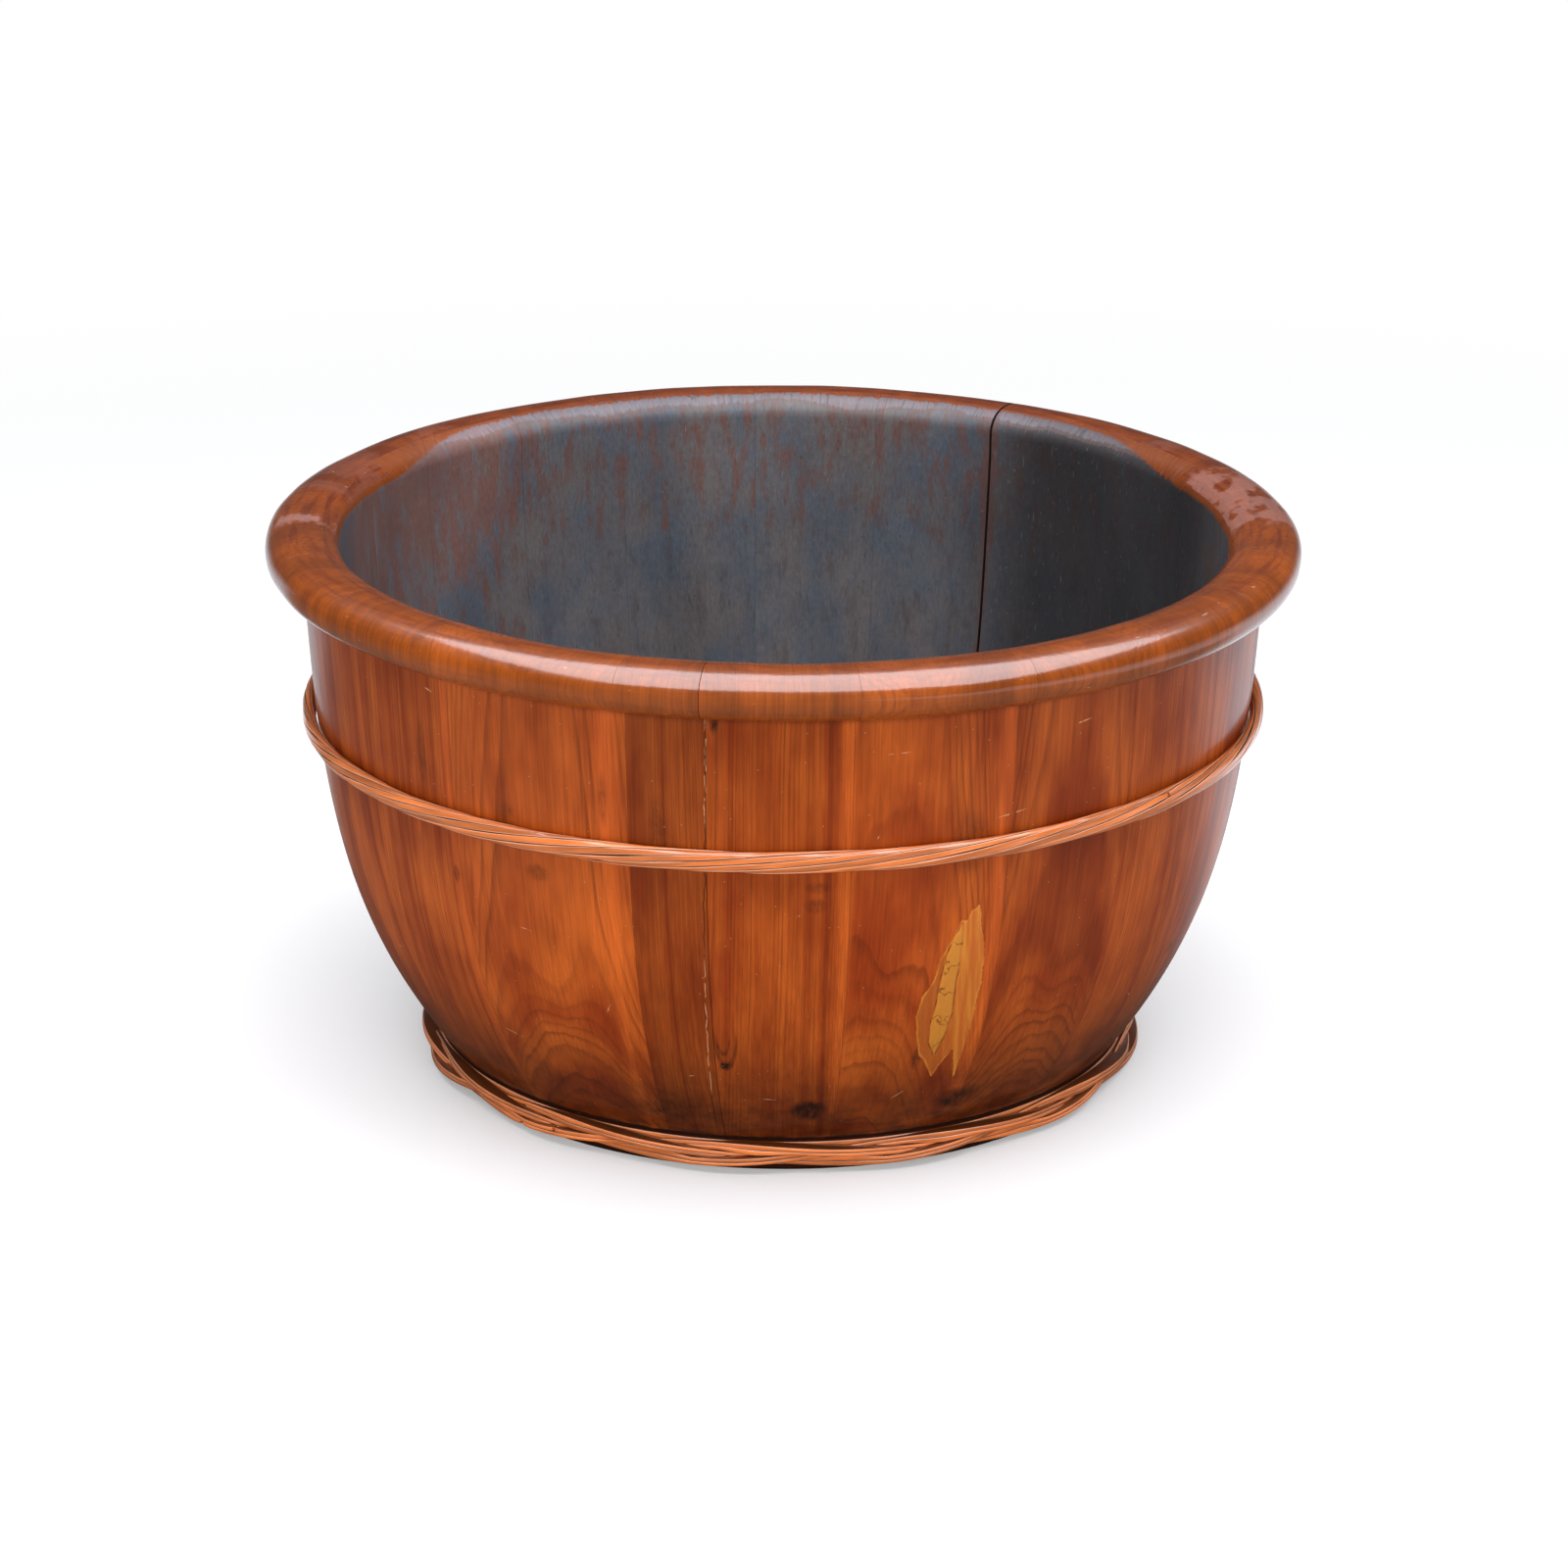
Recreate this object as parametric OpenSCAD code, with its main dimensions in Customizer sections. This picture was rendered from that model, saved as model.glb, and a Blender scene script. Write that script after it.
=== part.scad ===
// Wooden wash basin: staves with a carved rolled lip, held by a twisted and a plaited cane hoop.
// Millimetres. The axis is +Z, the origin is the centre of the foot on the ground, the front is -Y.

/* [Tub] */
// Diameter over the rolled lip
rim_d = 700; // [560:1:860]
// Height from the ground to the crest of the lip
tub_h = 378; // [300:1:460]
// Diameter of the straight foot
foot_d = 476; // [380:1:500]
// Straight wall left above the lower hoop, before the belly starts
foot_spare = 1; // [1:0.5:8]
// Thickness of the staves, measured level
stave_t = 25; // [20:0.5:30]
// Straight lean of the wall between foot and lip
wall_lean = 20; // [10:1:30]
// How late the belly turns in towards the foot
belly_power = 3.4; // [2.4:0.1:4.4]

/* [Lip] */
// How far the lip stands out past the wall
lip_out = 25; // [12:0.5:32]
// Height of the rolled lip
lip_h = 34; // [24:0.5:44]
// Squareness of the lip's section, 2 is an ellipse
lip_square = 2.2; // [2:0.1:3]

/* [Staves] */
// Number of staves
stave_count = 21; // [15:1:25]
// Width of the dried-out open joint at the back
open_joint = 1.6; // [0.4:0.1:3]
// Width of the hairline joint at the front
hairline_joint = 0.3; // [0.1:0.1:0.6]
// Thickness of the glue in every other joint, between boards too
glue_line = 0.1; // [0.05:0.05:0.2]

/* [Floor] */
// Height of the floor's underside above the ground
floor_z = 34; // [28:1:60]
// Thickness of the floor boards
floor_t = 18; // [14:0.5:24]
// Number of floor boards
floor_boards = 5; // [3:1:7]
// Depth of the groove that holds the floor
groove_depth = 5; // [3:0.5:7]
// Thickness of the tongue on the floor's edge
tongue_t = 8; // [5:0.5:10]
// Clearance between the tongue and its groove
tongue_clear = 0.2; // [0.1:0.05:0.4]
// Clearance between the floor's edge and the staves, above and below the tongue
edge_clear = 1; // [0.5:0.5:3]

/* [Pegs] */
// Diameter of the bamboo pegs
peg_d = 6; // [4:0.5:8]
// Length of a peg between two staves
stave_peg_l = 34; // [24:1:36]
// Length of a peg between two floor boards
floor_peg_l = 40; // [30:1:50]
// Clearance round a peg
peg_clear = 0.1; // [0.05:0.05:0.3]
// Height of the lower pegs, as a share of the tub's height
low_peg_share = 0.3; // [0.25:0.01:0.4]
// Height of the upper pegs, as a share of the tub's height
high_peg_share = 0.78; // [0.7:0.01:0.82]

/* [Upper hoop] */
// Height of the twisted hoop's middle
rope_z = 248; // [200:1:270]
// How much higher the hoop sits at the right than in the middle
rope_rise = 3; // [0:0.5:6]
// Height of the twisted hoop's section
rope_h = 15; // [10:0.5:20]
// Thickness of the twisted hoop's section
rope_t = 10; // [7:0.5:14]
// Number of splints in the twisted hoop
rope_splints = 9; // [6:1:12]
// Full twists in one turn of the hoop
rope_twists = 5; // [3:1:8]

/* [Lower hoop] */
// Height of the plaited hoop's lower edge above the ground
plait_low = 5; // [2:0.5:8]
// Height of the plaited hoop
plait_h = 16; // [12:0.5:20]
// Thickness of a splint in the plait
strand_t = 2.2; // [1.6:0.1:2.6]
// Splints side by side in one strand
strand_splints = 2; // [1:1:3]
// Waves of the plait in one turn of the hoop
plait_waves = 4; // [3:1:6]
// Number of straight splints that lie on the foot under the plait
core_splints = 3; // [1:1:4]
// Thickness of the straight splints
core_t = 1.6; // [1:0.1:2.4]

/* [Both hoops] */
// Clearance between neighbouring splints
splint_gap = 0.3; // [0.1:0.05:0.5]
// Least clearance between a hoop and the wall
hoop_gap = 0.2; // [0.1:0.05:0.5]
// Free length between the two cut ends of one splint
end_gap = 2.5; // [1:0.5:6]

/* [Repair] */
// Height of the filler patch's middle
patch_z = 139; // [110:1:160]
// Height of the filler patch
patch_h = 138; // [60:1:150]
// Width of the filler patch
patch_w = 44; // [20:1:48]
// Depth of the gouge that the filler sits in
patch_depth = 3; // [1.5:0.5:6]
// How proud of the wall the filler in the gouge stands
patch_proud = 0.8; // [0.6:0.1:1.5]
// Thickness of the filler smeared over the wood round the gouge
smear_t = 0.4; // [0.2:0.1:0.5]
// Clearance between the filler and the bottom of the gouge
filler_clear = 0.1; // [0.05:0.05:0.3]

/* [Hidden] */
// Smoothness of the turned surfaces, in facets round the whole tub
$fn = 180;

// Bearing of the front hairline joint, in degrees to the right of the front
FRONT_JOINT = -8.5;
// Widths of the staves in turn, as shares of an even stave
STAVE_SHARES = [0.96, 1.11, 0.99, 0.99, 0.99, 1.05, 0.93, 1.11, 1.11, 0.99, 0.99,
                1.11, 0.93, 1.05, 0.99, 0.99, 0.93, 0.93, 0.93, 1.37, 0.525];
// The joint that has dried open, counted from the front hairline joint
OPEN_JOINT = 9;
// The stave that the filler patch sits in
PATCH_STAVE = 2;
// Bearing of the filler patch, as a share of its stave's width
PATCH_SHARE = 0.7;
// Half the sector that the patch is cut from, in degrees
PATCH_SECTOR = 8;
// Outline of the smeared filler, as shares of the patch's width and half its height
SMEAR = [[0.31, 1], [0.18, 0.94], [0.11, 0.84], [0.03, 0.86], [-0.08, 0.65], [-0.24, 0.48],
         [-0.31, 0.23], [-0.45, 0.06], [-0.5, -0.16], [-0.43, -0.39], [-0.33, -0.61], [-0.16, -0.8],
         [-0.02, -0.94], [0.13, -0.74], [0.22, -0.64], [0.36, -1], [0.41, -0.64], [0.45, -0.28],
         [0.47, 0.09], [0.5, 0.38], [0.45, 0.56], [0.38, 0.74]];
// Outline of the plug of filler in the gouge, inside the smear
PLUG = [[0.05, 0.8], [-0.04, 0.68], [-0.14, 0.48], [-0.17, 0.3], [-0.2, 0.1], [-0.2, -0.06],
        [-0.24, -0.3], [-0.2, -0.49], [-0.07, -0.67], [0.01, -0.49], [0.08, -0.2], [0.06, 0.16],
        [0.08, 0.45], [0.08, 0.7]];
// Shares of the floor's width that the boards take, from left to right
BOARD_SHARES = [1.05, 0.9, 1.1, 0.95, 1, 0.9, 1.05];
// Bearings of the cut ends of the twisted hoop's splints, in degrees to the right of the front
ROPE_ENDS = [-22, 132, 228, 50, 172, 268, -9, 96, 205, 78, 150, 290];
// Bearings of the cut ends of the plaited hoop's splints
PLAIT_ENDS = [-44, -37, 112, 160, 215, 262, 75, 190, 238];
// Bearings of the cut ends of the straight splints under the plait
CORE_ENDS = [75, 190, 238, 300];
// Bearing at which the plait's first strand reaches the top
PLAIT_TOP = -4;
// Number of strands in the plait
STRANDS = 3;
// How far a strand weaves out and in, as a share of its thickness, enough to clear the one it crosses
WEAVE_SHARE = 1.8;
// How far out a twisted splint's core lies, as a share of the rope's half section
CORE_SHARE = 0.35;
// How far out a twisted splint's two edges lie, as a share of the rope's half section
EDGE_SHARE = 0.9;
// Places of the pegs along a joint of the floor, as shares of half its length
FLOOR_PEG_SHARES = [-0.6, 0, 0.6];

// Rings in one turn of a hoop
HOOP_RINGS = 72;
// Angle between two rings
RING_STEP = 360 / HOOP_RINGS;
// Shortest stretch from a cut end to the next ring, as a share of that angle
LEAST_STRETCH = 0.1;
// Clearance that also keeps the straight stretches between rings off the wall
hoop_clear = hoop_gap + rim_d / 2 * (1 - cos(RING_STEP / 2));
// Points up the wall's curve
WALL_STEPS = 22;
// Points round the lip's section
LIP_STEPS = 26;
// Bearing at which the lip's underside leaves the wall, on the lip's own section
LIP_FROM = -80;
// Chamfer round the edge of the foot
foot_chamfer = 2;

// Outer radius of the wall just under the lip
wall_r = rim_d / 2 - lip_out;
// Outer radius of the foot
foot_r = foot_d / 2;
// Height of the straight foot, which carries the lower hoop
foot_h = plait_low + plait_h + foot_spare;
// Height of the lip's middle
lip_z = tub_h - lip_h / 2;
// Height of the crease where the lip's underside meets the wall
crease_z = tub_h - lip_h;
// How far the belly curves in, on top of the wall's straight lean
belly_in = wall_r - foot_r - wall_lean;

// Shares along a list, from 0 to 1
function steps(n) = [for (i = [0:n]) i / n];

// How far down the curved wall a height lies, from 0 at the lip to 1 at the foot
function wall_share(z) = max(0, min(1, (crease_z - z) / (crease_z - foot_h)));
// Radius of the wall's outer face at a height
function outer_r(z) = wall_r - wall_lean * wall_share(z) - belly_in * pow(wall_share(z), belly_power);
// Radius of the wall's inner face at a height
function inner_r(z) = outer_r(z) - stave_t;
// One coordinate of the lip's rounded section
function lip_curve(v) = sign(v) * pow(abs(v), 2 / lip_square);
// Point of the lip's section at a bearing on that section
function lip_point(a) = [wall_r + (cos(a) > 0 ? lip_out : stave_t) * lip_curve(cos(a)),
                         lip_z + lip_h / 2 * lip_curve(sin(a))];

// Height of the tongue's middle
tongue_z = floor_z + floor_t / 2;
// Heights of the tongue's underside and top
tongue_low = tongue_z - tongue_t / 2;
tongue_high = tongue_z + tongue_t / 2;
// Radius of the groove's bottom
groove_r = inner_r(tongue_high) + groove_depth;
// Radius of the tongue's edge
tongue_r = groove_r - tongue_clear;
// Radius of the floor above the tongue
shoulder_r = inner_r(tongue_high) - edge_clear;

// Heights of the points up the wall's curve
WALL_HEIGHTS = [for (s = steps(WALL_STEPS)) foot_h + (crease_z - foot_h) * s];
// The staves' section, first up the outside, then over the lip, then down the inside
STAVE_OUTSIDE = concat(
    [[foot_r - stave_t, 0], [foot_r - foot_chamfer, 0], [foot_r, foot_chamfer]],
    [for (z = WALL_HEIGHTS) [outer_r(z), z]]);
STAVE_LIP = [for (s = steps(LIP_STEPS)) lip_point(LIP_FROM + (180 - LIP_FROM) * s)];
STAVE_INSIDE = [for (i = [WALL_STEPS:-1:0]) [inner_r(WALL_HEIGHTS[i]), WALL_HEIGHTS[i]]];

// Share of the stave after a joint, an even one where the list ends
function stave_share(k) = k < len(STAVE_SHARES) ? STAVE_SHARES[k] : 1;
// Shares of all the staves before a joint
function joint_share(k) = k <= 0 ? 0 : stave_share(k - 1) + joint_share(k - 1);
// Bearing of a joint, counted from the front hairline joint
function joint_bearing(k) = FRONT_JOINT + 360 * joint_share(k) / joint_share(stave_count);
// Width of a joint's gap
function joint_gap(k) =
    k == OPEN_JOINT ? open_joint :
    k % stave_count == 0 ? hairline_joint : glue_line;
// Half a joint's gap, as an angle
function gap_angle(k) = joint_gap(k) / 2 / wall_r * 180 / PI;

// Heights of the two pegs in a joint
peg_heights = [low_peg_share * tub_h, high_peg_share * tub_h];
// Bearing of the filler patch's middle
patch_bearing = joint_bearing(PATCH_STAVE - 1)
    + PATCH_SHARE * (joint_bearing(PATCH_STAVE) - joint_bearing(PATCH_STAVE - 1));

// Width of a strand
strand_w = plait_h / STRANDS;
// How far a strand swings above and below the plait's middle
plait_swing = strand_w;
// How far a strand weaves out and in
plait_weave = WEAVE_SHARE * strand_t;
// Height of the plait's middle
plait_z = plait_low + plait_h / 2;
// Radius of the plait's middle
plait_r = foot_r + hoop_clear + core_t + splint_gap + plait_weave + strand_t / 2;
// Radius of the straight splints' middle
core_r = foot_r + hoop_clear + core_t / 2;
// Splints in the whole plait
plait_splints = STRANDS * strand_splints;

// Names with numbers from 1
function numbered(name, n) = [for (i = [1:n]) str(name, i)];

// Turns children from the front to a bearing
module at_bearing(b) {
    rotate([0, 0, b]) children();
}

// Sector of a turned section between two bearings
module sector(from, to) {
    at_bearing(from - 90) rotate_extrude(angle = to - from) children();
}

// Pegs in one joint, or their holes when grown
module joint_pegs(k, grow) {
    for (z = peg_heights)
        at_bearing(joint_bearing(k))
            translate([0, -(outer_r(z) - stave_t / 2), z])
                rotate([0, 90, 0])
                    cylinder(h = stave_peg_l + 2 * grow, d = peg_d + 2 * grow, center = true, $fn = 24);
}

// One stave with its share of the lip, its groove and its peg holes
module stave(k) {
    color(k % 3 == 0 ? "#8e3f1e" : k % 3 == 1 ? "#9a461f" : "#843818")
        difference() {
            sector(joint_bearing(k - 1) + gap_angle(k - 1), joint_bearing(k) - gap_angle(k))
                difference() {
                    polygon(concat(STAVE_OUTSIDE, STAVE_LIP, STAVE_INSIDE));
                    translate([0, tongue_low - tongue_clear])
                        square([groove_r, tongue_t + 2 * tongue_clear]);
                }
            joint_pegs(k - 1, peg_clear);
            joint_pegs(k, peg_clear);
            if (k == PATCH_STAVE) wall_layer(-patch_depth, stave_t, PLUG);
        }
}

// Layer of the wall between two depths, under or over an outline seen from the front
module wall_layer(from, to, outline) {
    intersection() {
        sector(patch_bearing - PATCH_SECTOR, patch_bearing + PATCH_SECTOR)
            polygon([for (z = WALL_HEIGHTS) [outer_r(z) + to, z],
                     for (i = [WALL_STEPS:-1:0]) [outer_r(WALL_HEIGHTS[i]) + from, WALL_HEIGHTS[i]]]);
        at_bearing(patch_bearing)
            translate([0, 0, patch_z])
                rotate([90, 0, 0])
                    linear_extrude(height = rim_d)
                        polygon([for (p = outline) [p[0] * patch_w, p[1] * patch_h / 2]]);
    }
}

// The filler, pressed into the gouge and smeared thin over the wood round it
module filler_patch() {
    color("#c8862e") {
        wall_layer(filler_clear - patch_depth, patch_proud, PLUG);
        wall_layer(0, smear_t, SMEAR);
    }
}

// Section of the floor, from its middle to the tongue on its edge
module floor_section() {
    polygon([[0, floor_z], [inner_r(floor_z) - edge_clear, floor_z],
             [inner_r(tongue_low) - edge_clear, tongue_low],
             [tongue_r, tongue_low], [tongue_r, tongue_high],
             [shoulder_r, tongue_high], [shoulder_r, floor_z + floor_t],
             [0, floor_z + floor_t]]);
}

// Share of the floor's width before the right edge of a board
function edge_share(i) = i <= 0 ? 0 : BOARD_SHARES[i - 1] + edge_share(i - 1);
// Place of a board's right edge, from left to right
function board_edge(i) = tongue_r * (2 * edge_share(i) / edge_share(floor_boards) - 1);

// Pegs in the joint to the right of a board, or their holes when grown
module board_pegs(i, grow) {
    x = board_edge(i);
    half_chord = sqrt(shoulder_r * shoulder_r - x * x);
    for (s = FLOOR_PEG_SHARES)
        translate([x, s * half_chord, tongue_z])
            rotate([0, 90, 0])
                cylinder(h = floor_peg_l + 2 * grow, d = peg_d + 2 * grow, center = true, $fn = 24);
}

// One board of the floor
module floor_board(i) {
    color("#3f3c40")
        difference() {
            intersection() {
                rotate_extrude() floor_section();
                translate([board_edge(i - 1) + glue_line / 2, -rim_d / 2, 0])
                    cube([board_edge(i) - board_edge(i - 1) - glue_line, rim_d, tub_h]);
            }
            if (i > 1) board_pegs(i - 1, peg_clear);
            if (i < floor_boards) board_pegs(i, peg_clear);
        }
}

// All the pegs between staves
module stave_pegs() {
    color("#b9975a")
        for (k = [1:stave_count]) joint_pegs(k, 0);
}

// All the pegs between floor boards
module floor_pegs() {
    color("#b9975a")
        for (i = [1:floor_boards - 1]) board_pegs(i, 0);
}

// Faces of a strip swept through rings of points, closed at both ends
function strip_faces(rings, sides) = concat(
    [[for (j = [0:sides - 1]) j]],
    [[for (j = [sides - 1:-1:0]) (rings - 1) * sides + j]],
    [for (i = [0:rings - 2], j = [0:sides - 1]) let (
        a = i * sides + j,
        b = i * sides + (j + 1) % sides)
        each j < sides / 2 ?
            [[a, a + sides, b + sides], [a, b + sides, b]] :
            [[a, a + sides, b], [b, a + sides, b + sides]]]);

// Bearings of a splint's rings, from one cut end round to the other
function splint_bearings(end, r) =
    let (half_gap = end_gap / 2 / r * 180 / PI,
         first = ceil((end + half_gap) / RING_STEP + LEAST_STRETCH))
    concat([end + half_gap],
           [for (i = [0:HOOP_RINGS - 1]) let (b = (first + i) * RING_STEP)
               if (b < end + 360 - half_gap - LEAST_STRETCH * RING_STEP) b],
           [end + 360 - half_gap]);

// Ring of points at any bearing, on the straight stretch between two whole steps
function ring_at(ring, b) =
    let (low = floor(b / RING_STEP) * RING_STEP,
         share = (b - low) / RING_STEP)
    (1 - share) * ring(low) + share * ring(low + RING_STEP);

// A splint of a hoop: a ring of points at each bearing, from cut end to cut end
module splint(end, r, ring) {
    bearings = splint_bearings(end, r);
    polyhedron(points = [for (b = bearings) each ring_at(ring, b)],
               faces = strip_faces(len(bearings), len(ring(0))));
}

// Place of a point that lies out from the axis and up, at a bearing
function round_tub(b, r, z) = [r * sin(b), -r * cos(b), z];

// Height of the twisted hoop's middle at a bearing
function rope_level(b) = rope_z + rope_rise * sin(b);
// Place in the twisted hoop's section, by its own bearing and its share of the way out
function rope_point(b, turn, share) =
    let (z = rope_level(b),
         up = rope_h / 2 * share * sin(turn),
         lean = (outer_r(z + 1) - outer_r(z - 1)) / 2,
         seat = outer_r(z) + lean * up + hoop_clear)
    round_tub(b, seat + rope_t / 2 * (1 + share * cos(turn)), z + up);

// One splint of the upper hoop, a slice of the twisted rope
module upper_hoop_splint(i) {
    width = 360 / rope_splints;
    // Half the clearance between splints, as an angle at the rope's surface
    slack = splint_gap / 2 / ((rope_h + rope_t) / 4) * 180 / PI;
    left = -width / 2;
    right = width / 2;
    color("#c4622a")
        splint(ROPE_ENDS[(i - 1) % len(ROPE_ENDS)], wall_r,
            function(b) let (turn = i * width + rope_twists * b)
                [rope_point(b, turn + left + slack / CORE_SHARE, CORE_SHARE),
                 rope_point(b, turn + left + slack, EDGE_SHARE),
                 rope_point(b, turn, 1),
                 rope_point(b, turn + right - slack, EDGE_SHARE),
                 rope_point(b, turn + right - slack / CORE_SHARE, CORE_SHARE)]);
}

// One splint of the lower hoop, which swings up and down and weaves in and out
module lower_hoop_splint(i) {
    strand = floor((i - 1) / strand_splints);
    place = (i - 1) % strand_splints - (strand_splints - 1) / 2;
    pitch = strand_w / strand_splints;
    half = (pitch - splint_gap) / 2;
    // How far out the edges of its rounded face lie
    edge_out = strand_t / 4;
    color("#b9582a")
        splint(PLAIT_ENDS[(i - 1) % len(PLAIT_ENDS)], plait_r,
            function(b) let (wave = plait_waves * (b - PLAIT_TOP) - 360 / STRANDS * strand,
                             z = plait_z + plait_swing * cos(wave) + place * pitch,
                             r = plait_r + plait_weave * sin(2 * wave))
                [round_tub(b, r - strand_t / 2, z - half),
                 round_tub(b, r + edge_out, z - half),
                 round_tub(b, r + strand_t / 2, z),
                 round_tub(b, r + edge_out, z + half),
                 round_tub(b, r - strand_t / 2, z + half)]);
}

// One straight splint of the lower hoop, between the foot and the plait
module lower_hoop_core(i) {
    pitch = plait_h / core_splints;
    z = plait_low + (i - 0.5) * pitch;
    half = (pitch - splint_gap) / 2;
    color("#a34c24")
        splint(CORE_ENDS[i - 1], core_r,
            function(b) [round_tub(b, core_r - core_t / 2, z - half),
                         round_tub(b, core_r + core_t / 2, z - half),
                         round_tub(b, core_r + core_t / 2, z + half),
                         round_tub(b, core_r - core_t / 2, z + half)]);
}

for (k = [1:stave_count])
    stave(k);
for (i = [1:floor_boards])
    floor_board(i);
stave_pegs();
floor_pegs();
for (i = [1:rope_splints])
    upper_hoop_splint(i);
for (i = [1:plait_splints])
    lower_hoop_splint(i);
for (i = [1:core_splints])
    lower_hoop_core(i);
filler_patch();
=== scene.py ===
import math
import random

import bmesh
import bpy
from bpy.props import FloatProperty, FloatVectorProperty, IntProperty, PointerProperty
from mathutils import Matrix, Vector, noise


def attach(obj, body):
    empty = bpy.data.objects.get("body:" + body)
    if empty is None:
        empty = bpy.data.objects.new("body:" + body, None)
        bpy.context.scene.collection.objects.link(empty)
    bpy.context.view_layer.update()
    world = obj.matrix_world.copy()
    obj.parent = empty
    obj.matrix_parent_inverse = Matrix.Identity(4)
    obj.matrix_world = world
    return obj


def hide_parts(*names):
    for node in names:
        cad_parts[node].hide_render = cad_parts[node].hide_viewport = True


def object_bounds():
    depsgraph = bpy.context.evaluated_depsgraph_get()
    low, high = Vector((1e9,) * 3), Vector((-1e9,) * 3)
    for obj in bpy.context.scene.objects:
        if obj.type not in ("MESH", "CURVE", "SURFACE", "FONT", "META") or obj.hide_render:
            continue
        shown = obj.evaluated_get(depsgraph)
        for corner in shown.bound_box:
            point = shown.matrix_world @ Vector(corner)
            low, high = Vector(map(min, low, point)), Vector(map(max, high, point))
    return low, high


bl_info = {
    "name": "Wooden Wash Basin",
    "version": (1, 0, 0),
    "blender": (4, 5, 0),
    "location": "3D View > Sidebar > Basin",
    "description": "Staved wash basin with a carved lip, a lacquered inside and split cane hoops",
    "category": "Add Mesh",
}

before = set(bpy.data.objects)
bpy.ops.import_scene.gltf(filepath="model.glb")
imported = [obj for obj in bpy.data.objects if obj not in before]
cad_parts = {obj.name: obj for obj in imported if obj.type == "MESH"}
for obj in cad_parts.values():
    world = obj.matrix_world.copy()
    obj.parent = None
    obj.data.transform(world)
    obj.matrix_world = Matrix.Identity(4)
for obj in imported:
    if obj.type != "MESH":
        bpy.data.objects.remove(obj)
CAD_LOW, CAD_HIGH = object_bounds()
MM = 0.001

# Bearings are degrees to the right of the front, seen from above the tub's axis.
# The section coordinate, called turn, is the bearing on the lip's own section: -80 where its underside
# leaves the wall, 0 outermost, 90 on the crest, 180 innermost. Past both ends it counts on in millimetres,
# down the outside of the wall below -80 and down the inside above 180.

# Heights between which the planed surface starts to wander, above the foot that the plait needs true
WAVY_FROM = (20 * MM, 60 * MM)

# Bearing of the front hairline joint, and the staves' widths in turn from there
FRONT_JOINT = -8.5
STAVE_SHARES = [0.96, 1.11, 0.99, 0.99, 0.99, 1.05, 0.93, 1.11, 1.11, 0.99, 0.99,
                1.11, 0.93, 1.05, 0.99, 0.99, 0.93, 0.93, 0.93, 1.37, 0.525]
HAIRLINE_JOINT = 0
OPEN_JOINT = 9

# Each stave's brightness, and the place of its log's heart to the right and behind it, in millimetres
STAVE_WOOD = [(0.92, 170, 40), (1.02, -24, 110), (0.88, 5, 120), (0.93, -150, 60), (1.0, 90, 120),
              (0.9, 20, 130), (0.97, -190, 30), (1.05, 60, 140), (0.9, -40, 120), (1.0, 160, 50),
              (0.94, 10, 110), (1.06, -110, 70), (0.9, 200, 40), (1.0, -15, 120), (0.93, 35, 130),
              (1.03, -170, 50), (0.95, 25, 110), (1.05, -60, 100), (0.98, 140, 60), (1.03, 0, 120),
              (0.68, -190, 30)]

# Knots and figures in the wood: bearing, height, half sizes and lift of the rings in millimetres
FIGURES = [(-29, 158, 30, 66, 5), (13, 182, 20, 56, 3.6), (36.5, 160, 24, 62, 3.6), (-7.2, 104, 6, 24, 3.8),
           (52, 262, 16, 52, 3), (-48, 262, 18, 44, 3), (68, 150, 20, 60, 4), (-66, 168, 22, 54, 4),
           (13, 300, 20, 36, 2.4), (118, 190, 24, 60, 5), (-150, 175, 26, 60, 5), (170, 240, 22, 50, 4)]
# Dark loops round the lower end of a knot: bearing, height and half sizes in millimetres
KNOT_LOOPS = [(-7.0, 112, 7.5, 21), (-7.3, 113, 4.4, 12)]
# Painted reflections of bright windows on the lip, where the varnish is also rougher: bearing, half width in
# degrees and strength
REFLECTED_PATCHES = [(-87.5, 1.9, 0.6), (-108, 9, 0.1), (100, 12, 0.4), (-128, 4, 0.1), (124, 3, 0.12)]
# Dark stains on the outside: bearing, height, half sizes in millimetres and strength
STAINS = [(-7.5, 338, 3, 6, 0.7), (4.2, 228, 8, 4, 0.4), (4, 215, 7, 5, 0.5), (4, 52, 14, 9, 0.6),
          (-7.2, 90, 5, 3, 0.5), (-42, 205, 3, 6, 0.6), (-29.5, 222, 8, 6, 0.45), (-14, 262, 7, 26, 0.35),
          (18.2, 92, 4, 9, 0.5), (27, 50, 22, 9, 0.4), (-33, 258, 5, 14, 0.35), (-46, 285, 4, 24, 0.4),
          (-20.5, 281, 3, 17, 0.4), (22, 252, 13, 20, 0.4), (64, 116, 5, 4, 0.5), (-16, 50, 24, 16, 0.26),
          (100, 210, 9, 7, 0.5), (-120, 150, 8, 12, 0.5), (-160, 120, 12, 9, 0.5)]
# Scratches on the outside: bearing, height, half length and half width in millimetres, and slope in degrees
SCRATCHES = [(-38.5, 88, 13, 0.5, -12), (-22, 128, 5, 0.6, 62), (-1.5, 62, 10, 0.4, -3), (17, 62, 9, 0.5, 33),
             (-12, 80, 3, 0.4, 10), (27, 268, 13, 0.5, 8), (13, 318, 9, 0.5, 2), (-32, 178, 6, 0.5, -8),
             (11, 262, 2, 0.5, 60), (-44, 330, 4, 0.8, -14), (36, 322, 8, 0.6, 8), (2, 208, 1.6, 0.6, 20),
             (55, 96, 6, 0.4, -30), (-60, 120, 9, 0.4, 14), (150, 180, 14, 0.5, -9), (-170, 90, 11, 0.5, 16)]

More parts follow.
